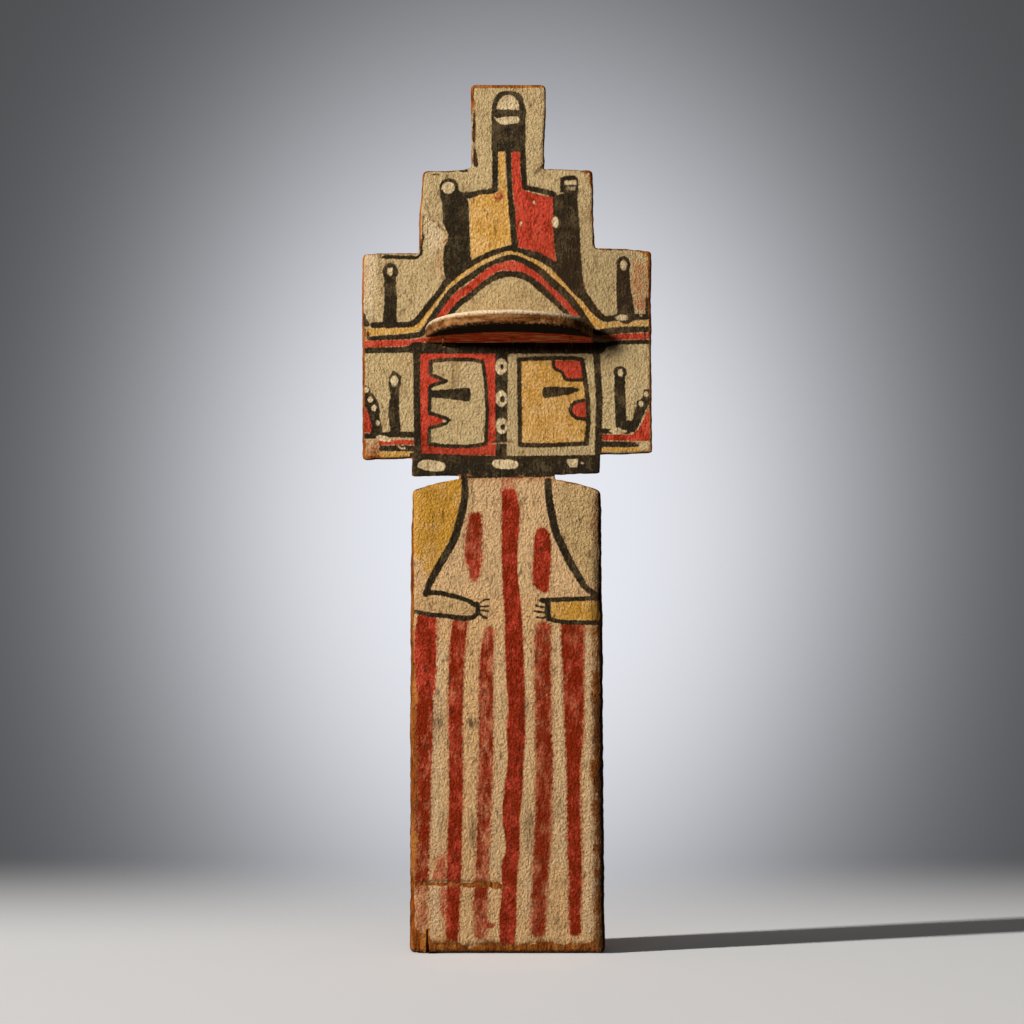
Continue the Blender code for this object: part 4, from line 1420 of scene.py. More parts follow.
@dataclass
class Slab(CarvedBoard):
    """The stepped slab that is the doll's body, mask and headdress, with a split in its foot."""

    name: str = "carved_slab"
    thickness: float = 20.0
    step: float = 1.25
    hole_radius: float = 0.75
    hole_levels: Pair = (322.0, 332.2)
    hole_places: Place = (-33.8, 2.9, 33.5)
    head_bottom: float = 252.0
    split: float = -42.2
    split_half: float = 1.6
    split_slant: float = 1.3

    def corners(self) -> list[Corner]:
        """Corners of the outline, anticlockwise from the foot's left end."""
        return [
            Corner(-51.7, 0.0, 3.4), Corner(-43.1, 0.0, 0.3), Corner(-42.9, 6.0), Corner(-42.8, 12.2, 0.3),
            Corner(-42.3, 12.9, 0.2), Corner(-41.9, 12.2, 0.3), Corner(-41.7, 6.0), Corner(-41.2, 0.0, 0.3),
            Corner(52.1, 0.0, 3.8), Corner(51.6, 22.0), Corner(50.9, 100.0), Corner(50.5, 180.0),
            Corner(49.8, 236.0), Corner(49.3, 245.2, 2.2), Corner(38.0, 248.9, 8.0), Corner(25.6, 251.0, 0.6),
            Corner(25.4, 253.4, 0.5), Corner(49.2, 254.3, 1.0), Corner(49.2, 264.3, 0.8),
            Corner(76.9, 265.1, 1.4), Corner(76.4, 300.0), Corner(76.3, 371.9, 2.2), Corner(62.0, 373.2),
            Corner(46.8, 373.8, 0.8), Corner(45.9, 384.0), Corner(45.3, 409.0), Corner(44.9, 414.5, 2.0),
            Corner(32.0, 415.2), Corner(19.5, 415.4, 0.9), Corner(19.9, 432.0), Corner(20.4, 460.0, 2.8),
            Corner(-19.4, 460.0, 2.8), Corner(-19.1, 440.0), Corner(-18.9, 416.0, 0.9), Corner(-25.0, 415.1),
            Corner(-36.0, 414.6), Corner(-44.7, 414.3, 2.4), Corner(-45.1, 407.0), Corner(-46.4, 392.0),
            Corner(-47.1, 371.1, 0.9), Corner(-60.0, 371.0), Corner(-76.9, 370.2, 2.8), Corner(-76.7, 310.0),
            Corner(-76.6, 261.3, 1.4), Corner(-50.5, 262.3, 0.8), Corner(-50.6, 252.8, 1.0),
            Corner(-25.2, 253.3, 0.5), Corner(-25.3, 251.0, 0.6), Corner(-38.0, 248.8, 8.0),
            Corner(-50.3, 245.0, 2.2), Corner(-51.2, 200.0), Corner(-51.5, 100.0),
        ]

    def rim_radius(self, walk: np.ndarray) -> np.ndarray:
        """Radius of the worn rim at each place of the outline, in millimetres."""
        x, z = walk.T
        head, right_side, left_side, shoulder, foot, split, neck = 1.8, 5.0, 3.6, 2.2, 3.0, 0.35, 0.8
        radius = np.where(z > self.head_bottom, head, np.where(x > 0, right_side, left_side))
        radius = np.where((z < self.head_bottom) & (z > 243.0), shoulder, radius)
        radius = np.where(z < 2.0, foot, radius)
        radius = np.where((np.abs(x - self.split) < self.split_half) & (z < 15.0), split, radius)
        radius = np.where((np.abs(z - 252.2) < 2.4) & (np.abs(x) < 46.0), neck, radius)
        spread = 5
        around = np.concatenate([radius[-2:], radius, radius[:2]])
        return np.convolve(around, np.ones(spread) / spread, "valid")

    def outline(self) -> Loop:
        """The outer edge, a little uneven as a knife leaves it."""
        walk = rounded_walk(self.corners(), self.step)
        x, z = walk.T
        free = smoothstep(2.0, 16.0, z) * (1.0 - smoothstep(452.0, 459.0, z))
        free *= np.where(np.abs(x - self.split) < 2.0, smoothstep(14.0, 20.0, z), 1.0)
        wobble = Ripple(0.36, 13.0, 13.0, 2.4).on(walk) + Ripple(0.3, 3.1, 3.1, 8.9).on(walk)
        rounding = self.rim_radius(walk) * (1.0 + Ripple(0.3, 9.0, 9.0, 5.5).on(walk))
        return Loop(walk + outward(walk) * (wobble * free)[:, None], rounding)

    def loops(self) -> list[Loop]:
        """The outer edge and the six stitch holes."""
        places = [(x, z) for x in self.hole_places for z in self.hole_levels]
        return [self.outline(), *stitch_holes(places, self.hole_radius)]

    def pits(self) -> list[Cut]:
        """Small pits scattered over the face, longer up the board than across."""
        rng = np.random.default_rng(SEED)
        widths, lengthening, depths, slope = (0.7, 1.7), (1.1, 3.4), (0.2, 0.55), 0.45
        zones = (
            PitZone(150, (-50, 50), (4, 250), 1.0), PitZone(34, (-49, 49), (256, 318), 0.7),
            PitZone(90, (-75, 75), (320, 372), 0.75), PitZone(44, (-44, 44), (374, 412), 0.75),
            PitZone(12, (-18, 18), (416, 457), 0.7), PitZone(20, (-75, -52), (265, 320), 0.7),
            PitZone(20, (52, 75), (268, 320), 0.7),
        )
        found = []
        for zone in zones:
            for _ in range(zone.count):
                width = rng.uniform(*widths) * zone.size
                x, z = rng.uniform(*zone.across), rng.uniform(*zone.along)
                spot = Dot(x, z, width, width * rng.uniform(*lengthening))
                found.append(Cut(spot, rng.uniform(*depths), slope))
        return found

    def bulge(self, edge: np.ndarray, height: np.ndarray) -> np.ndarray:
        """Knife marks along the edges, and the slant of the split at the foot."""
        side = edge[:, 0] - self.split
        in_split = (np.abs(side) < self.split_half) & (edge[:, 1] < 12.6) & (edge[:, 1] > 0.1)
        flat_foot = smoothstep(0.0, 2.0, edge[:, 1])
        return np.where(in_split, -self.split_slant * np.sign(side), super().bulge(edge, height) * flat_foot)

    def relief(self, spots: np.ndarray, front: bool) -> np.ndarray:
        """Tool marks, grain, pits and cracks of one face, in millimetres."""
        if not front:
            flutes = Ripple(0.34, 13.0, 44.0, 21.0).on(spots) + Ripple(0.12, 3.0, 30.0, 24.0).on(spots)
            return np.minimum(flutes - 0.15, 0.08)
        body = 1.0 - smoothstep(248.0, 256.0, spots[:, 1])
        height = Ripple(0.26, 12.0, 26.0, 1.0).on(spots) + Ripple(0.15, 4.2, 8.0, 4.0).on(spots)
        height += (0.10 + 0.07 * body) * waves(spots, 1.9, 17.0, 7.0)
        height += Ripple(0.16, 2.4, 3.2, 11.0).on(spots) * (1.0 + 0.5 * body)
        height -= 0.16 * body * np.abs(waves(spots, 7.0, 34.0, 15.0))
        return np.minimum(height - 0.12, 0.1) - self.carve(spots)

    def carve(self, spots: np.ndarray) -> np.ndarray:
        """Depth of the cracks, chips and pits, kept as a layer of their darkness too."""
        depth, dark = np.zeros(len(spots)), np.zeros(len(spots))
        for cut in Wear().cuts() + self.pits():
            rows = near(spots, cut.shape, cut.slope)
            inside = cut.shape.measure(spots[rows])[0]
            share = smoothstep(-cut.slope, cut.slope, inside)
            depth[rows] = np.maximum(depth[rows], share * cut.depth)
            dark[rows] = np.maximum(dark[rows], share * cut.dark)
        self.layers["hollow"] = dark
        return depth

    def paint(self, spots: np.ndarray) -> None:
        """Lay every mark and shade of the front face as a layer."""
        marks = HeaddressPaint().marks() + FacePaint().marks()
        marks += LowerWingPaint().marks() + BodyPaint().marks()
        for pigment in Pigment:
            self.lay(pigment, [one for one in marks if one.pigment is pigment], spots)
        for tint in Tint:
            self.layers[tint.value] = np.zeros(len(spots))
        for shade in Wear().shades():
            rows = near(spots, shade.shape, 2 * shade.soft)
            share = smoothstep(-shade.soft, shade.soft, shade.shape.measure(spots[rows])[0])
            layer = self.layers[shade.tint.value]
            layer[rows] = np.maximum(layer[rows], share * shade.strength)

    def lay(self, pigment: Pigment, marks: Sequence[Mark], spots: np.ndarray) -> None:
        """Lay one paint as three layers: how deep inside its marks, their load and their tone.

        Args:
            pigment: The paint.
            marks: Its marks in order. A wiped one takes from those before it.
            spots: Places of the front face's points.
        """
        reach = np.full(len(spots), -FAR)
        total, load, tone = (np.full(len(spots), start) for start in (1e-3, 1e-3, 5e-4))
        for mark in marks:
            rows = near(spots, mark.shape, FAR * mark.soft)
            depth, share = mark.shape.measure(spots[rows])
            depth = np.clip(depth / mark.soft, -FAR, FAR)
            if mark.wiped:
                reach[rows] = np.minimum(reach[rows], -depth)
                continue
            reach[rows] = np.maximum(reach[rows], depth)
            weight = np.exp(MARK_FALL * depth)
            total[rows] += weight
            load[rows] += weight * mark.along(mark.load, share)
            tone[rows] += weight * mark.along(mark.tone, share)
        self.layers[pigment.value] = reach
        self.layers[pigment.value + "_load"] = load / total
        self.layers[pigment.value + "_tone"] = tone / total

    def place(self, flat: np.ndarray, height: np.ndarray) -> np.ndarray:
        """Stand the board up, its face towards -Y."""
        return np.stack([flat[:, 0], -height, np.maximum(flat[:, 1], 0.0)], axis=1)

    def patches(self) -> list[Patch]:
        """Where the front face's points lie, closer together where the paint is finer."""
        return [
            Patch((-56, -2), (56, 252), 1.16),
            Patch((-79, 252), (79, 462), 0.92),
            Patch((-49, 256), (49, 321), 0.8),
            Patch((-78, 274), (-66, 303), 0.52),
            Patch((57, 274), (78, 300), 0.56),
            Patch((-17.5, 175.5), (-9, 189), 0.5),
            Patch((14, 175.5), (22.5, 189), 0.5),
            Patch((-10, 436), (12, 458), 0.6),
        ]

    def make(self) -> bpy.types.Object:
        """Carve and paint the slab."""
        obj = self.build(self.patches(), [Patch((-79, -2), (79, 462), 1.85)])
        obj.data.materials.append(PaintedWood().material())
        return obj


@dataclass
class Visor(CarvedBoard):
    """The half-round board that stands out from the face, drawn from its root outwards."""

    name: str = "carved_visor"
    thickness: float = 8.2
    middle: float = 1.0
    half_width: float = 44.3
    depth: float = 42.0
    fullness: float = 2.25
    root: float = -10.3
    underside: float = 323.2
    rise: float = math.radians(9.5)
    hole_radius: float = 1.0
    hole_places: Place = (-34.8, 1.9, 32.5)
    hole_inset: float = 12.0
    wall_levels: int = 9
    rounding: float = 1.9
    root_rounding: float = 0.4
    band: float = 17.5

    def loops(self) -> list[Loop]:
        """The half-round outline and the three stitch holes."""
        curve_points, root_points = 150, 74
        turn = np.linspace(0, math.pi, curve_points)
        power = 2.0 / self.fullness
        across = np.sign(np.cos(turn)) * np.abs(np.cos(turn)) ** power * self.half_width
        out = np.abs(np.sin(turn)) ** power * self.depth
        root = np.linspace(-self.half_width, self.half_width, root_points)[1:-1]
        walk = np.vstack([np.stack([across, out], axis=1), np.stack([root, np.zeros(len(root))], axis=1)])
        rounding = np.where(walk[:, 1] > 1.2, self.rounding, self.root_rounding)
        rounding *= 1.0 + Ripple(0.22, 9.0, 9.0, 31.0).on(walk)
        wobble = Ripple(0.3, 11.0, 11.0, 33.0).on(walk) * smoothstep(1.0, 8.0, walk[:, 1]) - 0.05
        holes = stitch_holes([(x, self.hole_inset) for x in self.hole_places], self.hole_radius)
        return [Loop(walk + outward(walk) * wobble[:, None], rounding), *holes]

    def relief(self, spots: np.ndarray, front: bool) -> np.ndarray:
        """Grain and tool marks across the board, in millimetres."""
        seed = 41.0 if front else 47.0
        grain = Ripple(0.1, 24.0, 1.7, seed).on(spots) + Ripple(0.16, 22.0, 8.0, seed + 2).on(spots)
        return np.minimum(grain - 0.12, 0.05)

    def bulge(self, edge: np.ndarray, height: np.ndarray) -> np.ndarray:
        """Grain lines and pits along the rim, none on the flat root."""
        rim = np.stack([edge[:, 0], height], axis=1)
        carved = Ripple(0.2, 12.0, 1.3, 51.0).on(rim) + Ripple(0.18, 5.0, 4.0, 53.0).on(rim)
        carved -= 0.5 * smoothstep(0.36, 0.62, waves(rim, 3.4, 1.1, 57.0))
        return (carved - 0.1) * smoothstep(0.6, 4.0, edge[:, 1])

    def paint(self, spots: np.ndarray) -> None:
        """Lay the black band under the rim and the worn red behind it as layers."""
        across = np.minimum(np.abs(spots[:, 0]) / self.half_width, 1.0)
        rim = (1.0 - across**self.fullness) ** (1 / self.fullness) * self.depth
        self.layers["inset"] = rim - spots[:, 1]
        self.layers["band"] = self.band * (1.0 - across**5) - self.layers["inset"]

    def place(self, flat: np.ndarray, height: np.ndarray) -> np.ndarray:
        """Set the board against the slab, its painted face down and its rim a little raised."""
        x = flat[:, 0] + self.middle
        y = self.root - flat[:, 1]
        z = self.underside + self.thickness / 2 + math.tan(self.rise) * flat[:, 1] - height
        return np.stack([x, y, z], axis=1)

    def make(self) -> bpy.types.Object:
        """Carve and paint the visor."""
        fine, coarse = Patch((-46, 0), (46, 44), 0.72), Patch((-46, 0), (46, 44), 0.95)
        obj = self.build([fine], [coarse])
        obj.data.materials.append(VisorWood().material())
        return obj


@dataclass(frozen=True)
class Ramp:
    """An eased step of a value.

    Attributes:
        low: Value at which it starts.
        high: Value at which it ends, above or below the first.
        start: What it gives up to low.
        end: What it gives from high on.
    """

    low: float
    high: float
    start: float = 0.0
    end: float = 1.0


@dataclass
class NodeSheet:
    """Builds a tree of nodes one after the other.

    Attributes:
        tree: The tree that is built.
    """

    tree: bpy.types.NodeTree

    def add(self, kind: str, inputs: dict[Any, Any] | None = None, **settings: Any) -> bpy.types.Node:
        """Add one node.

        Args:
            kind: Blender's name for the node.
            inputs: Plain values and linked sockets for its inputs.
            settings: The node's own settings.

        Returns:
            The new node.
        """
        node = self.tree.nodes.new(kind)
        for key, value in settings.items():
            setattr(node, key, value)
        for socket, value in (inputs or {}).items():
            if isinstance(value, Socket):
                self.tree.links.new(value, node.inputs[socket])
            else:
                node.inputs[socket].default_value = value
        return node

    def math(self, operation: str, first: Any, second: Any = 0.0, third: Any = 0.0) -> Socket:
        """Result of a sum."""
        return self.add("ShaderNodeMath", {0: first, 1: second, 2: third}, operation=operation).outputs[0]

    def times(self, first: Any, second: Any) -> Socket:
        """Two values multiplied."""
        return self.math("MULTIPLY", first, second)

    def highest(self, first: Any, second: Any) -> Socket:
        """The higher of two values."""
        return self.math("MAXIMUM", first, second)

    def centred(self, value: Any) -> Socket:
        """A value from 0 to 1 moved to lie round 0."""
        return self.math("SUBTRACT", value, 0.5)

    def weighed(self, base: Any, *parts: tuple[Any, Any]) -> Any:
        """A base with other values added, each times its weight."""
        for value, weight in parts:
            base = self.math("MULTIPLY_ADD", value, weight, base)
        return base

    def vector(self, operation: str, inputs: dict[Any, Any]) -> Socket:
        """Result of a sum of vectors."""
        return self.add("ShaderNodeVectorMath", inputs, operation=operation).outputs[0]

    def length(self, vector: Socket) -> Socket:
        """Length of a vector."""
        return self.add("ShaderNodeVectorMath", {0: vector}, operation="LENGTH").outputs["Value"]

    def smooth(self, value: Any, ramp: Ramp) -> Socket:
        """A value after an eased step."""
        inputs = {"Value": value, "From Min": ramp.low, "From Max": ramp.high}
        inputs |= {"To Min": ramp.start, "To Max": ramp.end}
        return self.add("ShaderNodeMapRange", inputs, interpolation_type="SMOOTHSTEP").outputs[0]

    def blend(self, factor: Any, first: Any, second: Any) -> Socket:
        """Colour between two colours."""
        inputs = {0: factor, 6: self.colour(first), 7: self.colour(second)}
        return self.add("ShaderNodeMix", inputs, data_type="RGBA").outputs[2]

    @staticmethod
    def colour(value: Any) -> Any:
        """A linked colour as it is, and a plain one with its alpha."""
        return value if isinstance(value, Socket) else (*value, 1.0)

    def layer(self, name: str) -> Socket:
        """One of the mesh's own layers."""
        return self.add("ShaderNodeAttribute", attribute_name=name).outputs["Fac"]

    def tint(self, tint: Tint) -> Socket:
        """The layer of one tint."""
        return self.layer(tint.value)

    def place(self) -> Socket:
        """Object coordinates in metres."""
        return self.add("ShaderNodeTexCoord").outputs["Object"]

    def millimetres(self, across: float = 1.0, along: float = 1.0) -> Socket:
        """Object coordinates in millimetres, shortened by a share across and up."""
        scale = (across / MM, 1.0 / MM, along / MM)
        return self.add("ShaderNodeMapping", {"Vector": self.place(), "Scale": scale}).outputs[0]

    def part(self, vector: Socket, way: str) -> Socket:
        """One part of a vector, such as its height."""
        return self.add("ShaderNodeSeparateXYZ", {0: vector}).outputs[way]

    def grain(self, vector: Any, size: float, detail: float = 3.0) -> Socket:
        """Noise from 0 to 1 with grains of a size in millimetres."""
        inputs = {"Vector": vector, "Scale": 1.0 / size, "Detail": detail, "Roughness": 0.6}
        return self.add("ShaderNodeTexNoise", inputs).outputs[0]


@dataclass(frozen=True)
class Finish:
    """Colours and roughness of a dry, matt finish.

    Attributes:
        name: Name of its material.
        roughness: How rough it is.
        gloss: Its specular level.
    """

    name: str
    roughness: float = 0.9
    gloss: float = 0.07

    def start(self) -> tuple[bpy.types.Material, NodeSheet]:
        """An empty material and the sheet on which its nodes are built."""
        material = bpy.data.materials.new(self.name)
        material.use_nodes = True
        material.node_tree.nodes.clear()
        return material, NodeSheet(material.node_tree)

    def end(self, sheet: NodeSheet, colour: Socket, height: Socket) -> None:
        """Close the tree with a matt surface.

        Args:
            sheet: The sheet that holds the tree.
            colour: Colour of the surface.
            height: Height of its finest relief, in millimetres.
        """
        bump = sheet.add("ShaderNodeBump", {"Height": height, "Distance": MM, "Strength": 1.0})
        inputs = {
            "Base Color": colour, "Roughness": self.roughness, "Specular IOR Level": self.gloss,
            "Normal": bump.outputs[0],
        }
        shader = sheet.add("ShaderNodeBsdfPrincipled", inputs)
        sheet.add("ShaderNodeOutputMaterial", {"Surface": shader.outputs[0]})


@dataclass(frozen=True)
class OldWood(Finish):
    """Bare cottonwood, browned with age."""

    dark: Colour = (0.10, 0.022, 0.003)
    middle: Colour = (0.43, 0.105, 0.011)
    pale: Colour = (0.55, 0.20, 0.040)
    fibres: Ramp = Ramp(0.3, 0.7)
    veins: Ramp = Ramp(0.42, 0.72)
    stains: Ramp = Ramp(0.5, 0.8, 0.0, 0.55)
    fibre_height: float = 0.22

    def wood(self, sheet: NodeSheet, along: Socket, even: Socket) -> tuple[Socket, Socket]:
        """Colour and fine height of the bare wood.

        Args:
            sheet: The sheet that holds the tree.
            along: Coordinates shortened along the grain.
            even: Coordinates that are the same size every way.

        Returns:
            The colour, and the height in millimetres.
        """
        fibre, vein = sheet.grain(along, 0.9, 4.0), sheet.grain(along, 4.5, 2.0)
        stain = sheet.grain(even, 9.0)
        colour = sheet.blend(sheet.smooth(fibre, self.fibres), self.dark, self.middle)
        colour = sheet.blend(sheet.smooth(vein, self.veins), colour, self.pale)
        colour = sheet.blend(sheet.smooth(stain, self.stains), colour, self.dark)
        return colour, sheet.times(fibre, self.fibre_height)


@dataclass
class Grains:
    """The noises that the painted wood's colour, wear and relief share.

    Attributes:
        edge: Small grains that break up edges.
        fine: The finest grains.
        patch: Broad patches.
        streak: Streaks up the board.
        wash: Clouds of watery paint.
        flake: Crumbled relief of the old paint: uneven grains with grooves between them.
        wear: How far the paint is worn through.
    """

    edge: Socket
    fine: Socket
    patch: Socket
    streak: Socket
    wash: Socket
    flake: Socket
    wear: Socket

    @classmethod
    def on(cls, sheet: NodeSheet, along: Socket, even: Socket) -> Grains:
        """Build the noises.

        Args:
            sheet: The sheet that holds the tree.
            along: Coordinates shortened up the board.
            even: Coordinates that are the same size every way.

        Returns:
            The noises, each from about 0 to 1.
        """
        edge, fine = sheet.grain(even, 1.7, 4.0), sheet.grain(even, 0.8, 2.0)
        patch, streak = sheet.grain(even, 7.0, 4.0), sheet.grain(along, 1.4, 4.0)
        wash = sheet.grain(sheet.millimetres(along=0.5), 4.0)
        wear = sheet.weighed(-0.3, (fine, 0.5), (streak, 0.55), (patch, 0.55))
        return cls(edge, fine, patch, streak, wash, cls.flakes(sheet), wear)

    @staticmethod
    def flakes(sheet: NodeSheet) -> Socket:
        """Crumbs of a bent cell pattern, roughened with noise."""
        upright = sheet.millimetres(along=0.8)
        warp = sheet.add("ShaderNodeTexNoise", {"Vector": upright, "Scale": 1.6, "Detail": 3.0})
        bent = sheet.vector("MULTIPLY_ADD", {0: warp.outputs["Color"], 1: (0.9, 0.9, 0.9), 2: upright})
        cells = sheet.add("ShaderNodeTexVoronoi", {"Vector": bent, "Scale": 0.7}, feature="F1")
        crumb, rough = cells.outputs["Distance"], sheet.grain(upright, 0.9, 4.0)
        return sheet.weighed(0.28, (rough, 0.75), (crumb, -0.32))


@dataclass(frozen=True)
class PaintedWood(OldWood):
    """Earth paints over a pale clay ground on the worn slab.

    Each Ramp turns a layer or a noise into how far a change goes.
    """

    name: str = "painted wood"
    head_ground: Colour = (0.56, 0.40, 0.19)
    body_ground: Colour = (0.75, 0.44, 0.195)
    dark_ground: Colour = (0.33, 0.19, 0.078)
    olive: Colour = (0.55, 0.37, 0.155)
    blush: Colour = (0.54, 0.19, 0.072)
    pale_clay: Colour = (0.75, 0.56, 0.335)
    ochre_pair: ColourPair = ((0.60, 0.29, 0.037), (0.80, 0.47, 0.175))
    red_pair: ColourPair = ((0.25, 0.020, 0.003), (0.60, 0.064, 0.032))
    black_pair: ColourPair = ((0.026, 0.018, 0.009), (0.10, 0.068, 0.032))
    cream_pair: ColourPair = ((0.48, 0.33, 0.16), (0.84, 0.64, 0.37))
    # Colour of dirt, used for the painted shade too.
    dirt_and_shade: Colour = (0.07, 0.028, 0.01)
    umber: Colour = (0.22, 0.095, 0.03)
    neck: Ramp = Ramp(249.0, 257.0)
    blushed: Ramp = Ramp(0.36, 0.6, 0.25, 1.0)
    darkened: Ramp = Ramp(0.46, 0.8, 0.0, 0.6)
    powdered: Ramp = Ramp(0.52, 0.75, 0.0, 0.45)
    grooved: Ramp = Ramp(0.5, 0.34, 0.0, 0.2)
    rubbed_rim: Ramp = Ramp(0.0, 2.3, 0.42, 0.0)
    held: Ramp = Ramp(0.74, 0.98, 1.0, 0.0)
    gripped: Ramp = Ramp(0.0, 0.45)
    spread: Ramp = Ramp(-1.0, 1.0)
    loaded: Ramp = Ramp(-0.06, 0.34)
    washed: Ramp = Ramp(-0.05, 0.8)
    bled: Ramp = Ramp(0.0, 2.2, 0.0, 0.36)
    worn_black: Ramp = Ramp(0.35, 0.85)
    toned: Ramp = Ramp(0.0, 1.0)
    # Painted shade and highlight: the colour is darkened in the grooves of the crumbled relief and brightened
    # on its raised crumbs.
    light: Ramp = Ramp(0.34, 0.66, 0.87, 1.14)
    streaked: Ramp = Ramp(0.25, 0.6)
    specks: Ramp = Ramp(0.38, 0.26, 0.0, 0.55)
    flake_height: Ramp = Ramp(249.0, 257.0, 2.2, 1.5)

    def covering(self, sheet: NodeSheet, pigment: Pigment, ragged: Socket, grains: Grains) -> Socket:
        """How much of the surface a paint covers, from 0 to 1.

        Args:
            sheet: The sheet that holds the tree.
            pigment: The paint. The red is watery: it thins out in clouds and bleeds past its edge.
            ragged: Noise that makes its edge uneven.
            grains: Noises that wear it through.

        Returns:
            The cover.
        """
        depth = sheet.math("ADD", sheet.layer(pigment.value), ragged)
        load = sheet.weighed(0.2, (sheet.layer(pigment.value + "_load"), 0.85))
        spread = sheet.smooth(depth, self.spread)
        if pigment is not Pigment.RED:
            return sheet.times(spread, sheet.smooth(sheet.math("SUBTRACT", load, grains.wear), self.loaded))
        load = sheet.weighed(load, (sheet.math("SUBTRACT", 0.5, grains.wash), 1.1), (grains.wear, -0.45))
        bled = sheet.smooth(sheet.weighed(depth, (grains.wash, 4.0)), self.bled)
        return sheet.highest(sheet.times(spread, sheet.smooth(load, self.washed)), bled)

    def ground(self, sheet: NodeSheet, grains: Grains, up: Socket) -> Socket:
        """Colour of the clay ground with its stains.

        Args:
            sheet: The sheet that holds the tree.
            grains: Noises that make it uneven.
            up: Height on the doll, in millimetres.

        Returns:
            The colour.
        """
        colour = sheet.blend(sheet.smooth(up, self.neck), self.body_ground, self.head_ground)
        colour = sheet.blend(sheet.tint(Tint.OLIVE), colour, self.olive)
        blushed = sheet.times(sheet.tint(Tint.BLUSH), sheet.smooth(grains.patch, self.blushed))
        colour = sheet.blend(blushed, colour, self.blush)
        colour = sheet.blend(sheet.smooth(grains.patch, self.darkened), colour, self.dark_ground)
        pale = sheet.weighed(sheet.smooth(grains.fine, self.powdered), (sheet.tint(Tint.PALE), 0.6))
        colour = sheet.blend(pale, colour, self.pale_clay)
        return sheet.blend(sheet.smooth(grains.flake, self.grooved), colour, self.umber)

    def tone(self, sheet: NodeSheet, pigment: Pigment, grains: Grains) -> Socket:
        """Place of a paint between its two colours, from 0 to 1.

        Args:
            sheet: The sheet that holds the tree.
            pigment: The paint.
            grains: Noises that make it uneven.

        Returns:
            The tone.
        """
        tone = sheet.layer(pigment.value + "_tone")
        if pigment is Pigment.BLACK:
            tone = sheet.math("ADD", sheet.centred(tone), sheet.smooth(grains.wear, self.worn_black))
        tone = sheet.weighed(tone, (sheet.centred(grains.patch), 1.5), (sheet.centred(grains.flake), 1.2))
        if pigment is Pigment.RED:
            tone = sheet.weighed(tone, (sheet.centred(grains.wash), 1.8))
        return sheet.smooth(tone, self.toned)

    def hold(self, sheet: NodeSheet, grains: Grains) -> Socket:
        """How well clay and paint still hold on the wood, from 0 to 1."""
        rubbed = sheet.weighed(-0.1, (grains.edge, 0.45), (grains.patch, 0.75))
        rubbed = sheet.math("ADD", sheet.smooth(sheet.layer("rim"), self.rubbed_rim), rubbed)
        rubbed = sheet.weighed(rubbed, (sheet.tint(Tint.BARE), 0.6))
        return sheet.times(sheet.smooth(rubbed, self.held), sheet.layer("face"))

    def soil_and_shade(self, sheet: NodeSheet, grains: Grains) -> Socket:
        """How far dirt and painted shade cover the surface, from 0 to 1."""
        soiled_and_shaded = sheet.times(sheet.tint(Tint.DIRT_AND_SHADE), sheet.smooth(grains.streak, self.streaked))
        soiled_and_shaded = sheet.highest(soiled_and_shaded, sheet.smooth(grains.edge, self.specks))
        return sheet.highest(soiled_and_shaded, sheet.times(sheet.layer("hollow"), 0.9))

    def material(self) -> bpy.types.Material:
        """Build the material."""
        material, sheet = self.start()
        even, along = sheet.millimetres(), sheet.millimetres(along=0.12)
        grains, up = Grains.on(sheet, along, even), sheet.part(even, "Z")
        wood, height = self.wood(sheet, along, even)
        ragged = sheet.weighed(-2.2, (grains.edge, 4.4))
        hold = self.hold(sheet, grains)
        grip = sheet.smooth(hold, self.gripped)
        colour = sheet.blend(hold, wood, self.ground(sheet, grains, up))
        pairs = (self.ochre_pair, self.red_pair, self.black_pair, self.cream_pair)
        for pigment, pair in zip(Pigment, pairs):
            paint = sheet.blend(self.tone(sheet, pigment, grains), *pair)
            cover = self.covering(sheet, pigment, ragged, grains)
            colour = sheet.blend(sheet.times(cover, grip), colour, paint)
            height = sheet.weighed(height, (cover, 0.02))
        # Painted shade in the relief's grooves and painted highlight on its raised crumbs.
        colour = sheet.vector("SCALE", {0: colour, "Scale": sheet.smooth(grains.flake, self.light)})
        # Darkens with dirt, and also with the painted shade along the right edge, the foot, the crack's lip
        # and the right of the head.
        colour = sheet.blend(self.soil_and_shade(sheet, grains), colour, self.dirt_and_shade)
        flaked = sheet.smooth(up, self.flake_height)
        height = sheet.weighed(height, (grains.flake, flaked), (grains.edge, 0.8))
        self.end(sheet, colour, height)
        return material


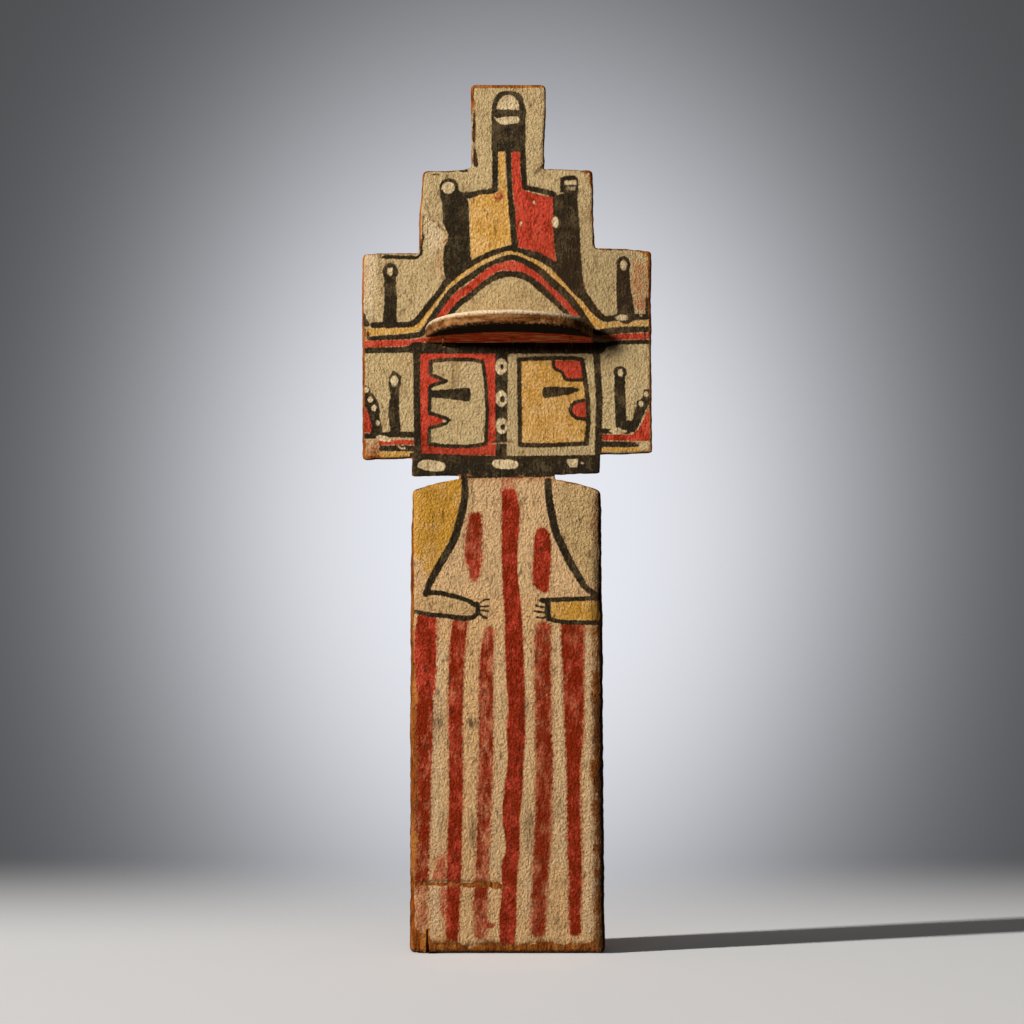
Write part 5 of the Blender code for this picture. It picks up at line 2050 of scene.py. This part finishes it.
@dataclass(frozen=True)
class VisorWood(OldWood):
    """The visor's tan wood, pale clay with a painted highlight along its top, black and worn red underneath.
    """

    name: str = "visor wood"
    dark: Colour = (0.055, 0.014, 0.003)
    middle: Colour = (0.24, 0.082, 0.019)
    pale: Colour = (0.43, 0.21, 0.07)
    # Partly pale clay, partly a painted highlight along the visor's top.
    clay_and_highlight: Colour = (0.95, 0.72, 0.45)
    black: Colour = (0.009, 0.006, 0.003)
    red_pair: ColourPair = ((0.38, 0.024, 0.004), (0.60, 0.27, 0.09))
    clayed_and_lit: Ramp = Ramp(0.76, 1.02, 0.0, 0.95)
    worn: Ramp = Ramp(0.48, 0.66)
    inside: Ramp = Ramp(0.6, 2.4)
    banded: Ramp = Ramp(-0.8, 0.8)
    scuffed: Ramp = Ramp(0.66, 0.78, 1.0, 0.4)
    skirt_top: Ramp = Ramp(0.57, 0.43)
    skirt_ends: Ramp = Ramp(2.0, 9.0)

    def material(self) -> bpy.types.Material:
        """Build the material."""
        material, sheet = self.start()
        even, along = sheet.millimetres(), sheet.millimetres(across=0.1)
        colour, height = self.wood(sheet, along, even)
        edge, streak = sheet.grain(even, 1.2), sheet.grain(along, 1.0)
        level, band = sheet.layer("level"), sheet.layer("band")
        # Pale clay over the top face and upper rim, brightened into a painted highlight.
        colour = sheet.blend(sheet.smooth(sheet.weighed(level, (edge, 0.3)), self.clayed_and_lit), colour, self.clay_and_highlight)
        ragged = sheet.weighed(-4.5, (streak, 5.0), (edge, 4.0))
        under = sheet.smooth(sheet.math("ADD", sheet.layer("inset"), ragged), self.inside)
        under = sheet.times(under, sheet.layer("face"))
        colour = sheet.blend(under, colour, sheet.blend(sheet.smooth(streak, self.worn), *self.red_pair))
        banded = sheet.smooth(sheet.math("ADD", band, ragged), self.banded)
        banded = sheet.times(banded, sheet.smooth(streak, self.scuffed))
        skirt = sheet.smooth(sheet.weighed(level, (edge, 0.7)), self.skirt_top)
        skirt = sheet.times(skirt, sheet.smooth(band, self.skirt_ends))
        colour = sheet.blend(sheet.highest(sheet.times(banded, under), skirt), colour, self.black)
        self.end(sheet, colour, sheet.weighed(height, (edge, 1.3), (streak, 1.3)))
        return material


@dataclass(frozen=True)
class Sinew(Finish):
    """Dried sinew, browned with age, with a painted shadow darkening it where it runs under the visor."""

    name: str = "sinew"
    roughness: float = 0.7
    gloss: float = 0.04
    dark: Colour = (0.16, 0.07, 0.02)
    pale: Colour = (0.55, 0.30, 0.11)
    # Painted shadow where the sinew runs below the visor.
    visor_shadow: Colour = (0.02, 0.01, 0.004)
    fibres: Ramp = Ramp(0.35, 0.7)
    out_of_visor_shadow: Ramp = Ramp(322.4, 323.8)
    fibre_size: float = 0.22
    fibre_height: float = 0.04

    def material(self) -> bpy.types.Material:
        """Build the material."""
        material, sheet = self.start()
        even = sheet.millimetres()
        fibre = sheet.grain(even, self.fibre_size)
        colour = sheet.blend(sheet.smooth(fibre, self.fibres), self.dark, self.pale)
        # Below the visor's underside the sinew is darkened: painted shadow.
        colour = sheet.blend(sheet.smooth(sheet.part(even, "Z"), self.out_of_visor_shadow), self.visor_shadow, colour)
        self.end(sheet, colour, sheet.times(fibre, self.fibre_height))
        return material


@dataclass(frozen=True)
class Stitch:
    """One closed loop of two-ply sinew through the visor and the slab.

    Attributes:
        name: Name of its piece.
        x: Where it lies across the board, in millimetres.
        seed: Seed of its unevenness.
        lay_radius: How far each ply winds out from the line.
    """

    name: str
    x: float
    seed: int
    corners: tuple[Pair, ...] = (
        (-22.3, 324.44), (-11.15, 322.0), (10.82, 322.0), (10.82, 332.2), (-11.15, 332.2), (-22.3, 333.95),
    )
    bend: float = 0.55
    bend_steps: int = 6
    ply_radius: float = 0.25
    lay_radius: float = 0.23
    turns: int = 31
    samples: int = 310
    sides: int = 8

    def path(self) -> bpy.types.Object:
        """The loop's line as a mesh of edges."""
        mesh = bpy.data.meshes.new(self.name)
        places = [(self.x * MM, y * MM, z * MM) for y, z in self.corners]
        count = len(places)
        mesh.from_pydata(places, [(number, (number + 1) % count) for number in range(count)], [])
        return linked(self.name + " line", mesh)

    def values(self) -> dict[str, float]:
        """The tree's inputs by name."""
        return {
            "Ply radius": self.ply_radius * MM, "Lay radius": self.lay_radius * MM,
            "Turns": float(self.turns), "Seed": float(self.seed),
        }

    def tree(self, material: bpy.types.Material) -> tuple[bpy.types.NodeTree, dict[str, str]]:
        """Build the tree that twists two plies along the line.

        Args:
            material: The sinew.

        Returns:
            The tree, and the identifier of each of its named inputs.
        """
        tree = bpy.data.node_groups.new("twisted sinew", "GeometryNodeTree")
        tree.interface.new_socket("Geometry", in_out="INPUT", socket_type="NodeSocketGeometry")
        named = {
            name: tree.interface.new_socket(name, in_out="INPUT", socket_type="NodeSocketFloat").identifier
            for name in self.values()
        }
        tree.interface.new_socket("Geometry", in_out="OUTPUT", socket_type="NodeSocketGeometry")
        sheet = NodeSheet(tree)
        given = sheet.add("NodeGroupInput").outputs
        curve = sheet.add("GeometryNodeMeshToCurve", {0: given[0]}).outputs[0]
        inputs = {"Curve": curve, "Radius": self.bend * MM, "Count": self.bend_steps}
        bent = sheet.add("GeometryNodeFilletCurve", inputs, mode="POLY").outputs[0]
        even = sheet.add("GeometryNodeResampleCurve", {"Curve": bent, "Count": self.samples}).outputs[0]
        plies = sheet.add("GeometryNodeJoinGeometry")
        for ply in range(2):
            tree.links.new(self.ply(sheet, even, given, math.pi * ply), plies.inputs[0])
        round_inputs = {"Resolution": self.sides, "Radius": given["Ply radius"]}
        ring = sheet.add("GeometryNodeCurvePrimitiveCircle", round_inputs).outputs[0]
        tube = sheet.add("GeometryNodeCurveToMesh", {"Curve": plies.outputs[0], "Profile Curve": ring})
        smooth = sheet.add("GeometryNodeSetShadeSmooth", {0: tube.outputs[0]})
        real = sheet.add("GeometryNodeRealizeInstances", {0: smooth.outputs[0]})
        dressed = sheet.add("GeometryNodeSetMaterial", {"Geometry": real.outputs[0], "Material": material})
        sheet.add("NodeGroupOutput", {0: dressed.outputs[0]})
        return tree, named

    def ply(self, sheet: NodeSheet, line: Socket, given: Any, phase: float) -> Socket:
        """Move the line sideways so that it winds round itself.

        Args:
            sheet: The sheet that holds the tree.
            line: The evenly divided line.
            given: The tree's inputs.
            phase: Where this ply starts on its turn, in radians.

        Returns:
            The line of this ply.
        """
        along = sheet.add("GeometryNodeSplineParameter").outputs["Factor"]
        turn = sheet.times(sheet.times(along, given["Turns"]), 2 * math.pi)
        turn = sheet.math("ADD", turn, phase)
        place = sheet.add("GeometryNodeInputPosition").outputs[0]
        inputs = {"Vector": place, "W": given["Seed"], "Scale": 0.5 / MM, "Detail": 1.0}
        uneven = sheet.add("ShaderNodeTexNoise", inputs, noise_dimensions="4D").outputs[0]
        reach = sheet.times(given["Lay radius"], sheet.weighed(0.82, (uneven, 0.3)))
        tangent = sheet.add("GeometryNodeInputTangent").outputs[0]
        side = sheet.vector("CROSS_PRODUCT", {0: tangent, 1: (1.0, 0.0, 0.0)})
        across = sheet.times(sheet.math("COSINE", turn), reach)
        out = sheet.times(sheet.math("SINE", turn), reach)
        sideways = sheet.vector("SCALE", {0: side, "Scale": out})
        shift = sheet.add("ShaderNodeCombineXYZ", {"X": across}).outputs[0]
        offset = sheet.vector("ADD", {0: sideways, 1: shift})
        return sheet.add("GeometryNodeSetPosition", {"Geometry": line, "Offset": offset}).outputs[0]

    def make(self, material: bpy.types.Material) -> bpy.types.Object:
        """Twist the plies along the line and keep them as a mesh."""
        line = self.path()
        tree, named = self.tree(material)
        modifier = line.modifiers.new("twist", "NODES")
        modifier.node_group = tree
        for name, value in self.values().items():
            modifier[named[name]] = value
        bpy.context.view_layer.update()
        evaluated = line.evaluated_get(bpy.context.evaluated_depsgraph_get())
        mesh = bpy.data.meshes.new_from_object(evaluated)
        bpy.data.objects.remove(line)
        bpy.data.node_groups.remove(tree)
        face_outward(mesh)
        return linked(self.name, mesh)


def face_outward(mesh: bpy.types.Mesh) -> None:
    """Turn the faces of a closed mesh outwards."""
    work = bmesh.new()
    work.from_mesh(mesh)
    bmesh.ops.recalc_face_normals(work, faces=work.faces)
    work.to_mesh(mesh)
    work.free()


@dataclass(frozen=True)
class Lamp:
    """A soft square light.

    Attributes:
        name: Its name.
        direction: Where it stands, seen from the doll.
        distance: How far away it is, in metres.
        size: Length of its side, in metres.
        strength: What a white matt surface that faces it sends back, from 0 to 1.
        colour: Its colour.
    """

    name: str
    direction: Place
    distance: float
    size: float
    strength: float
    colour: Colour = (1.0, 1.0, 1.0)

    def hang(self, aim: Vector, lit: bpy.types.Collection) -> bpy.types.Object:
        """Hang the light.

        Args:
            aim: Where it points.
            lit: The only things that it lights.

        Returns:
            The light.
        """
        data = bpy.data.lights.new(self.name, "AREA")
        data.shape = "SQUARE"
        data.size = self.size
        data.color = self.colour
        data.energy = self.strength * (math.pi * self.distance) ** 2
        lamp = linked(self.name, data)
        way = Vector(self.direction).normalized()
        lamp.location = aim + way * self.distance
        lamp.rotation_euler = (-way).to_track_quat("-Z", "Y").to_euler()
        lamp.light_linking.receiver_collection = lit
        return lamp


@dataclass(frozen=True)
class Studio:
    """The plain studio: floor, backdrop, lights and camera."""

    middle: Place = (0.0, 0.0, 0.23)
    camera_place: Place = (0.0025, -1.51, 0.2337)
    lens: float = 99.6
    sensor_width: float = 36.0
    view_end: float = 30.0
    floor_radius: float = 1.6
    floor_sides: int = 64
    floor_sink: float = 0.0003
    floor_back: Ramp = Ramp(0.0, 0.43, 1.0, 0.0)
    floor_edge: Ramp = Ramp(0.7, 1.5, 1.0, 0.0)
    dome_radius: float = 6.0
    dome_segments: int = 48
    dome_rings: int = 24
    floor_colour: Colour = (0.80, 0.78, 0.76)
    dome_colour: Colour = (0.965, 0.985, 1.05)
    glow_place: Place = (-0.003, 0.0, -0.18)
    glow_scale: Place = (1.2, 0.0, 0.93)
    glow_power: float = 3.0
    glow_fall: float = 0.5
    glow_range: Pair = (0.61, 0.31)
    glow_curve: float = 2.2
    sky_colour: Colour = (1.0, 0.98, 0.96)
    sky_strength: float = 0.02
    key: Lamp = Lamp("key", (-0.88, -1.0, 0.42), 2.4, 0.42, 1.42, (1.0, 0.985, 0.96))
    front: Lamp = Lamp("front fill", (0.25, -1.0, 0.1), 2.6, 1.6, 0.02)
    low: Lamp = Lamp("low fill", (0.0, -0.25, -1.0), 1.6, 0.8, 0.24, (1.0, 0.92, 0.82))
    back: Lamp = Lamp("back fill", (0.25, 1.0, 0.2), 2.4, 1.2, 0.5)
    floor_light: Lamp = Lamp("floor light", (-1.0, -0.33, 0.225), 9.0, 0.36, 3.1)
    floor_fill: Lamp = Lamp("floor fill", (0.0, -0.3, 1.0), 2.5, 2.0, 0.09)

    def floor(self) -> bpy.types.Object:
        """A pale floor that fades into the backdrop behind the doll."""
        turn = np.linspace(0, 2 * math.pi, self.floor_sides, endpoint=False)
        ring = np.stack([np.cos(turn), np.sin(turn), np.zeros(self.floor_sides)], axis=1) * self.floor_radius
        mesh = bpy.data.meshes.new("floor")
        mesh.from_pydata(ring.tolist(), [], [list(range(self.floor_sides))])
        floor = linked("floor", mesh)
        floor.location.z = -self.floor_sink
        floor.visible_diffuse = floor.visible_glossy = floor.visible_shadow = False
        material, sheet = Finish("floor").start()
        spots = sheet.place()
        behind = sheet.smooth(sheet.part(spots, "Y"), self.floor_back)
        kept = sheet.times(behind, sheet.smooth(sheet.length(spots), self.floor_edge))
        matt = sheet.add("ShaderNodeBsdfDiffuse", {"Color": (*self.floor_colour, 1.0)})
        clear = sheet.add("ShaderNodeBsdfTransparent")
        mixed = sheet.add("ShaderNodeMixShader", {0: kept, 1: clear.outputs[0], 2: matt.outputs[0]})
        sheet.add("ShaderNodeOutputMaterial", {"Surface": mixed.outputs[0]})
        mesh.materials.append(material)
        return floor

    def backdrop(self) -> bpy.types.Object:
        """A grey backdrop far away, with a soft glow behind the doll."""
        mesh = bpy.data.meshes.new("backdrop")
        ball = bmesh.new()
        counts = {"u_segments": self.dome_segments, "v_segments": self.dome_rings}
        bmesh.ops.create_uvsphere(ball, radius=self.dome_radius, **counts)
        bmesh.ops.reverse_faces(ball, faces=ball.faces)
        ball.to_mesh(mesh)
        ball.free()
        dome = linked("backdrop", mesh)
        for way in ("diffuse", "glossy", "transmission", "shadow"):
            setattr(dome, "visible_" + way, False)
        material, sheet = Finish("backdrop").start()
        inputs = {"Vector": sheet.place(), "Location": self.glow_place, "Scale": self.glow_scale}
        distance = sheet.length(sheet.add("ShaderNodeMapping", inputs).outputs[0])
        spread = sheet.math("POWER", distance, self.glow_power)
        glow = sheet.math("EXPONENT", sheet.times(spread, -self.glow_fall))
        most, least = self.glow_range
        bright = sheet.math("POWER", sheet.weighed(least, (glow, most)), self.glow_curve)
        lit = sheet.add("ShaderNodeEmission", {"Color": (*self.dome_colour, 1.0), "Strength": bright})
        sheet.add("ShaderNodeOutputMaterial", {"Surface": lit.outputs[0]})
        mesh.materials.append(material)
        return dome

    def camera(self) -> None:
        """Stand the camera straight in front of the doll."""
        data = bpy.data.cameras.new("camera")
        data.sensor_width = self.sensor_width
        data.lens = self.lens
        data.clip_end = self.view_end
        camera = linked("camera", data)
        camera.location = self.camera_place
        camera.rotation_euler = (math.pi / 2, 0.0, 0.0)
        bpy.context.scene.camera = camera

    def world(self) -> None:
        """A faint even light from all round."""
        world = bpy.data.worlds.new("studio")
        bpy.context.scene.world = world
        world.use_nodes = True
        background = world.node_tree.nodes["Background"]
        background.inputs["Color"].default_value = (*self.sky_colour, 1.0)
        background.inputs["Strength"].default_value = self.sky_strength

    def build(self, pieces: Sequence[bpy.types.Object]) -> None:
        """Set the studio up round the pieces.

        Args:
            pieces: The doll's own pieces, the slab first.
        """
        doll, under = bpy.data.collections.new("doll"), bpy.data.collections.new("underside")
        for piece in pieces:
            doll.objects.link(piece)
        for piece in pieces[1:]:
            under.objects.link(piece)
        ground = bpy.data.collections.new("ground")
        floor, dome = self.floor(), self.backdrop()
        ground.objects.link(floor)
        for lamp in (self.key, self.front, self.back):
            lamp.hang(Vector(self.middle), doll)
        self.low.hang(Vector(self.middle), under)
        for lamp in (self.floor_light, self.floor_fill):
            lamp.hang(Vector((0.0, 0.0, 0.0)), ground)
        self.camera()
        self.world()
        bpy.context.scene.view_settings.view_transform = "Standard"


def report(piece: bpy.types.Object) -> None:
    """Log the name and size of a finished piece."""
    size = tuple(round(side, 4) for side in piece.dimensions)
    LOG.info("%s: %d faces, %s m", piece.name, len(piece.data.polygons), size)


def settle(piece: bpy.types.Object, node: str) -> None:
    """Let a finished piece take a CAD node's place.

    Args:
        piece: The piece.
        node: Name of the CAD node.
    """
    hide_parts(node)
    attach(piece, "root")
    report(piece)


def main() -> None:
    """Build the doll and its studio."""
    logging.basicConfig(level=logging.INFO, format="%(message)s")
    slab, visor = Slab().make(), Visor().make()
    settle(slab, "slab")
    settle(visor, "visor")
    sinew = Sinew().material()
    stitches = []
    for number, (side, x) in enumerate(zip(("left", "middle", "right"), Slab.hole_places), 1):
        stitch = Stitch("sinew_" + side, x, number).make(sinew)
        settle(stitch, "stitch_" + side)
        stitches.append(stitch)
    Studio().build([slab, visor, *stitches])


if __name__ == "__main__":
    main()
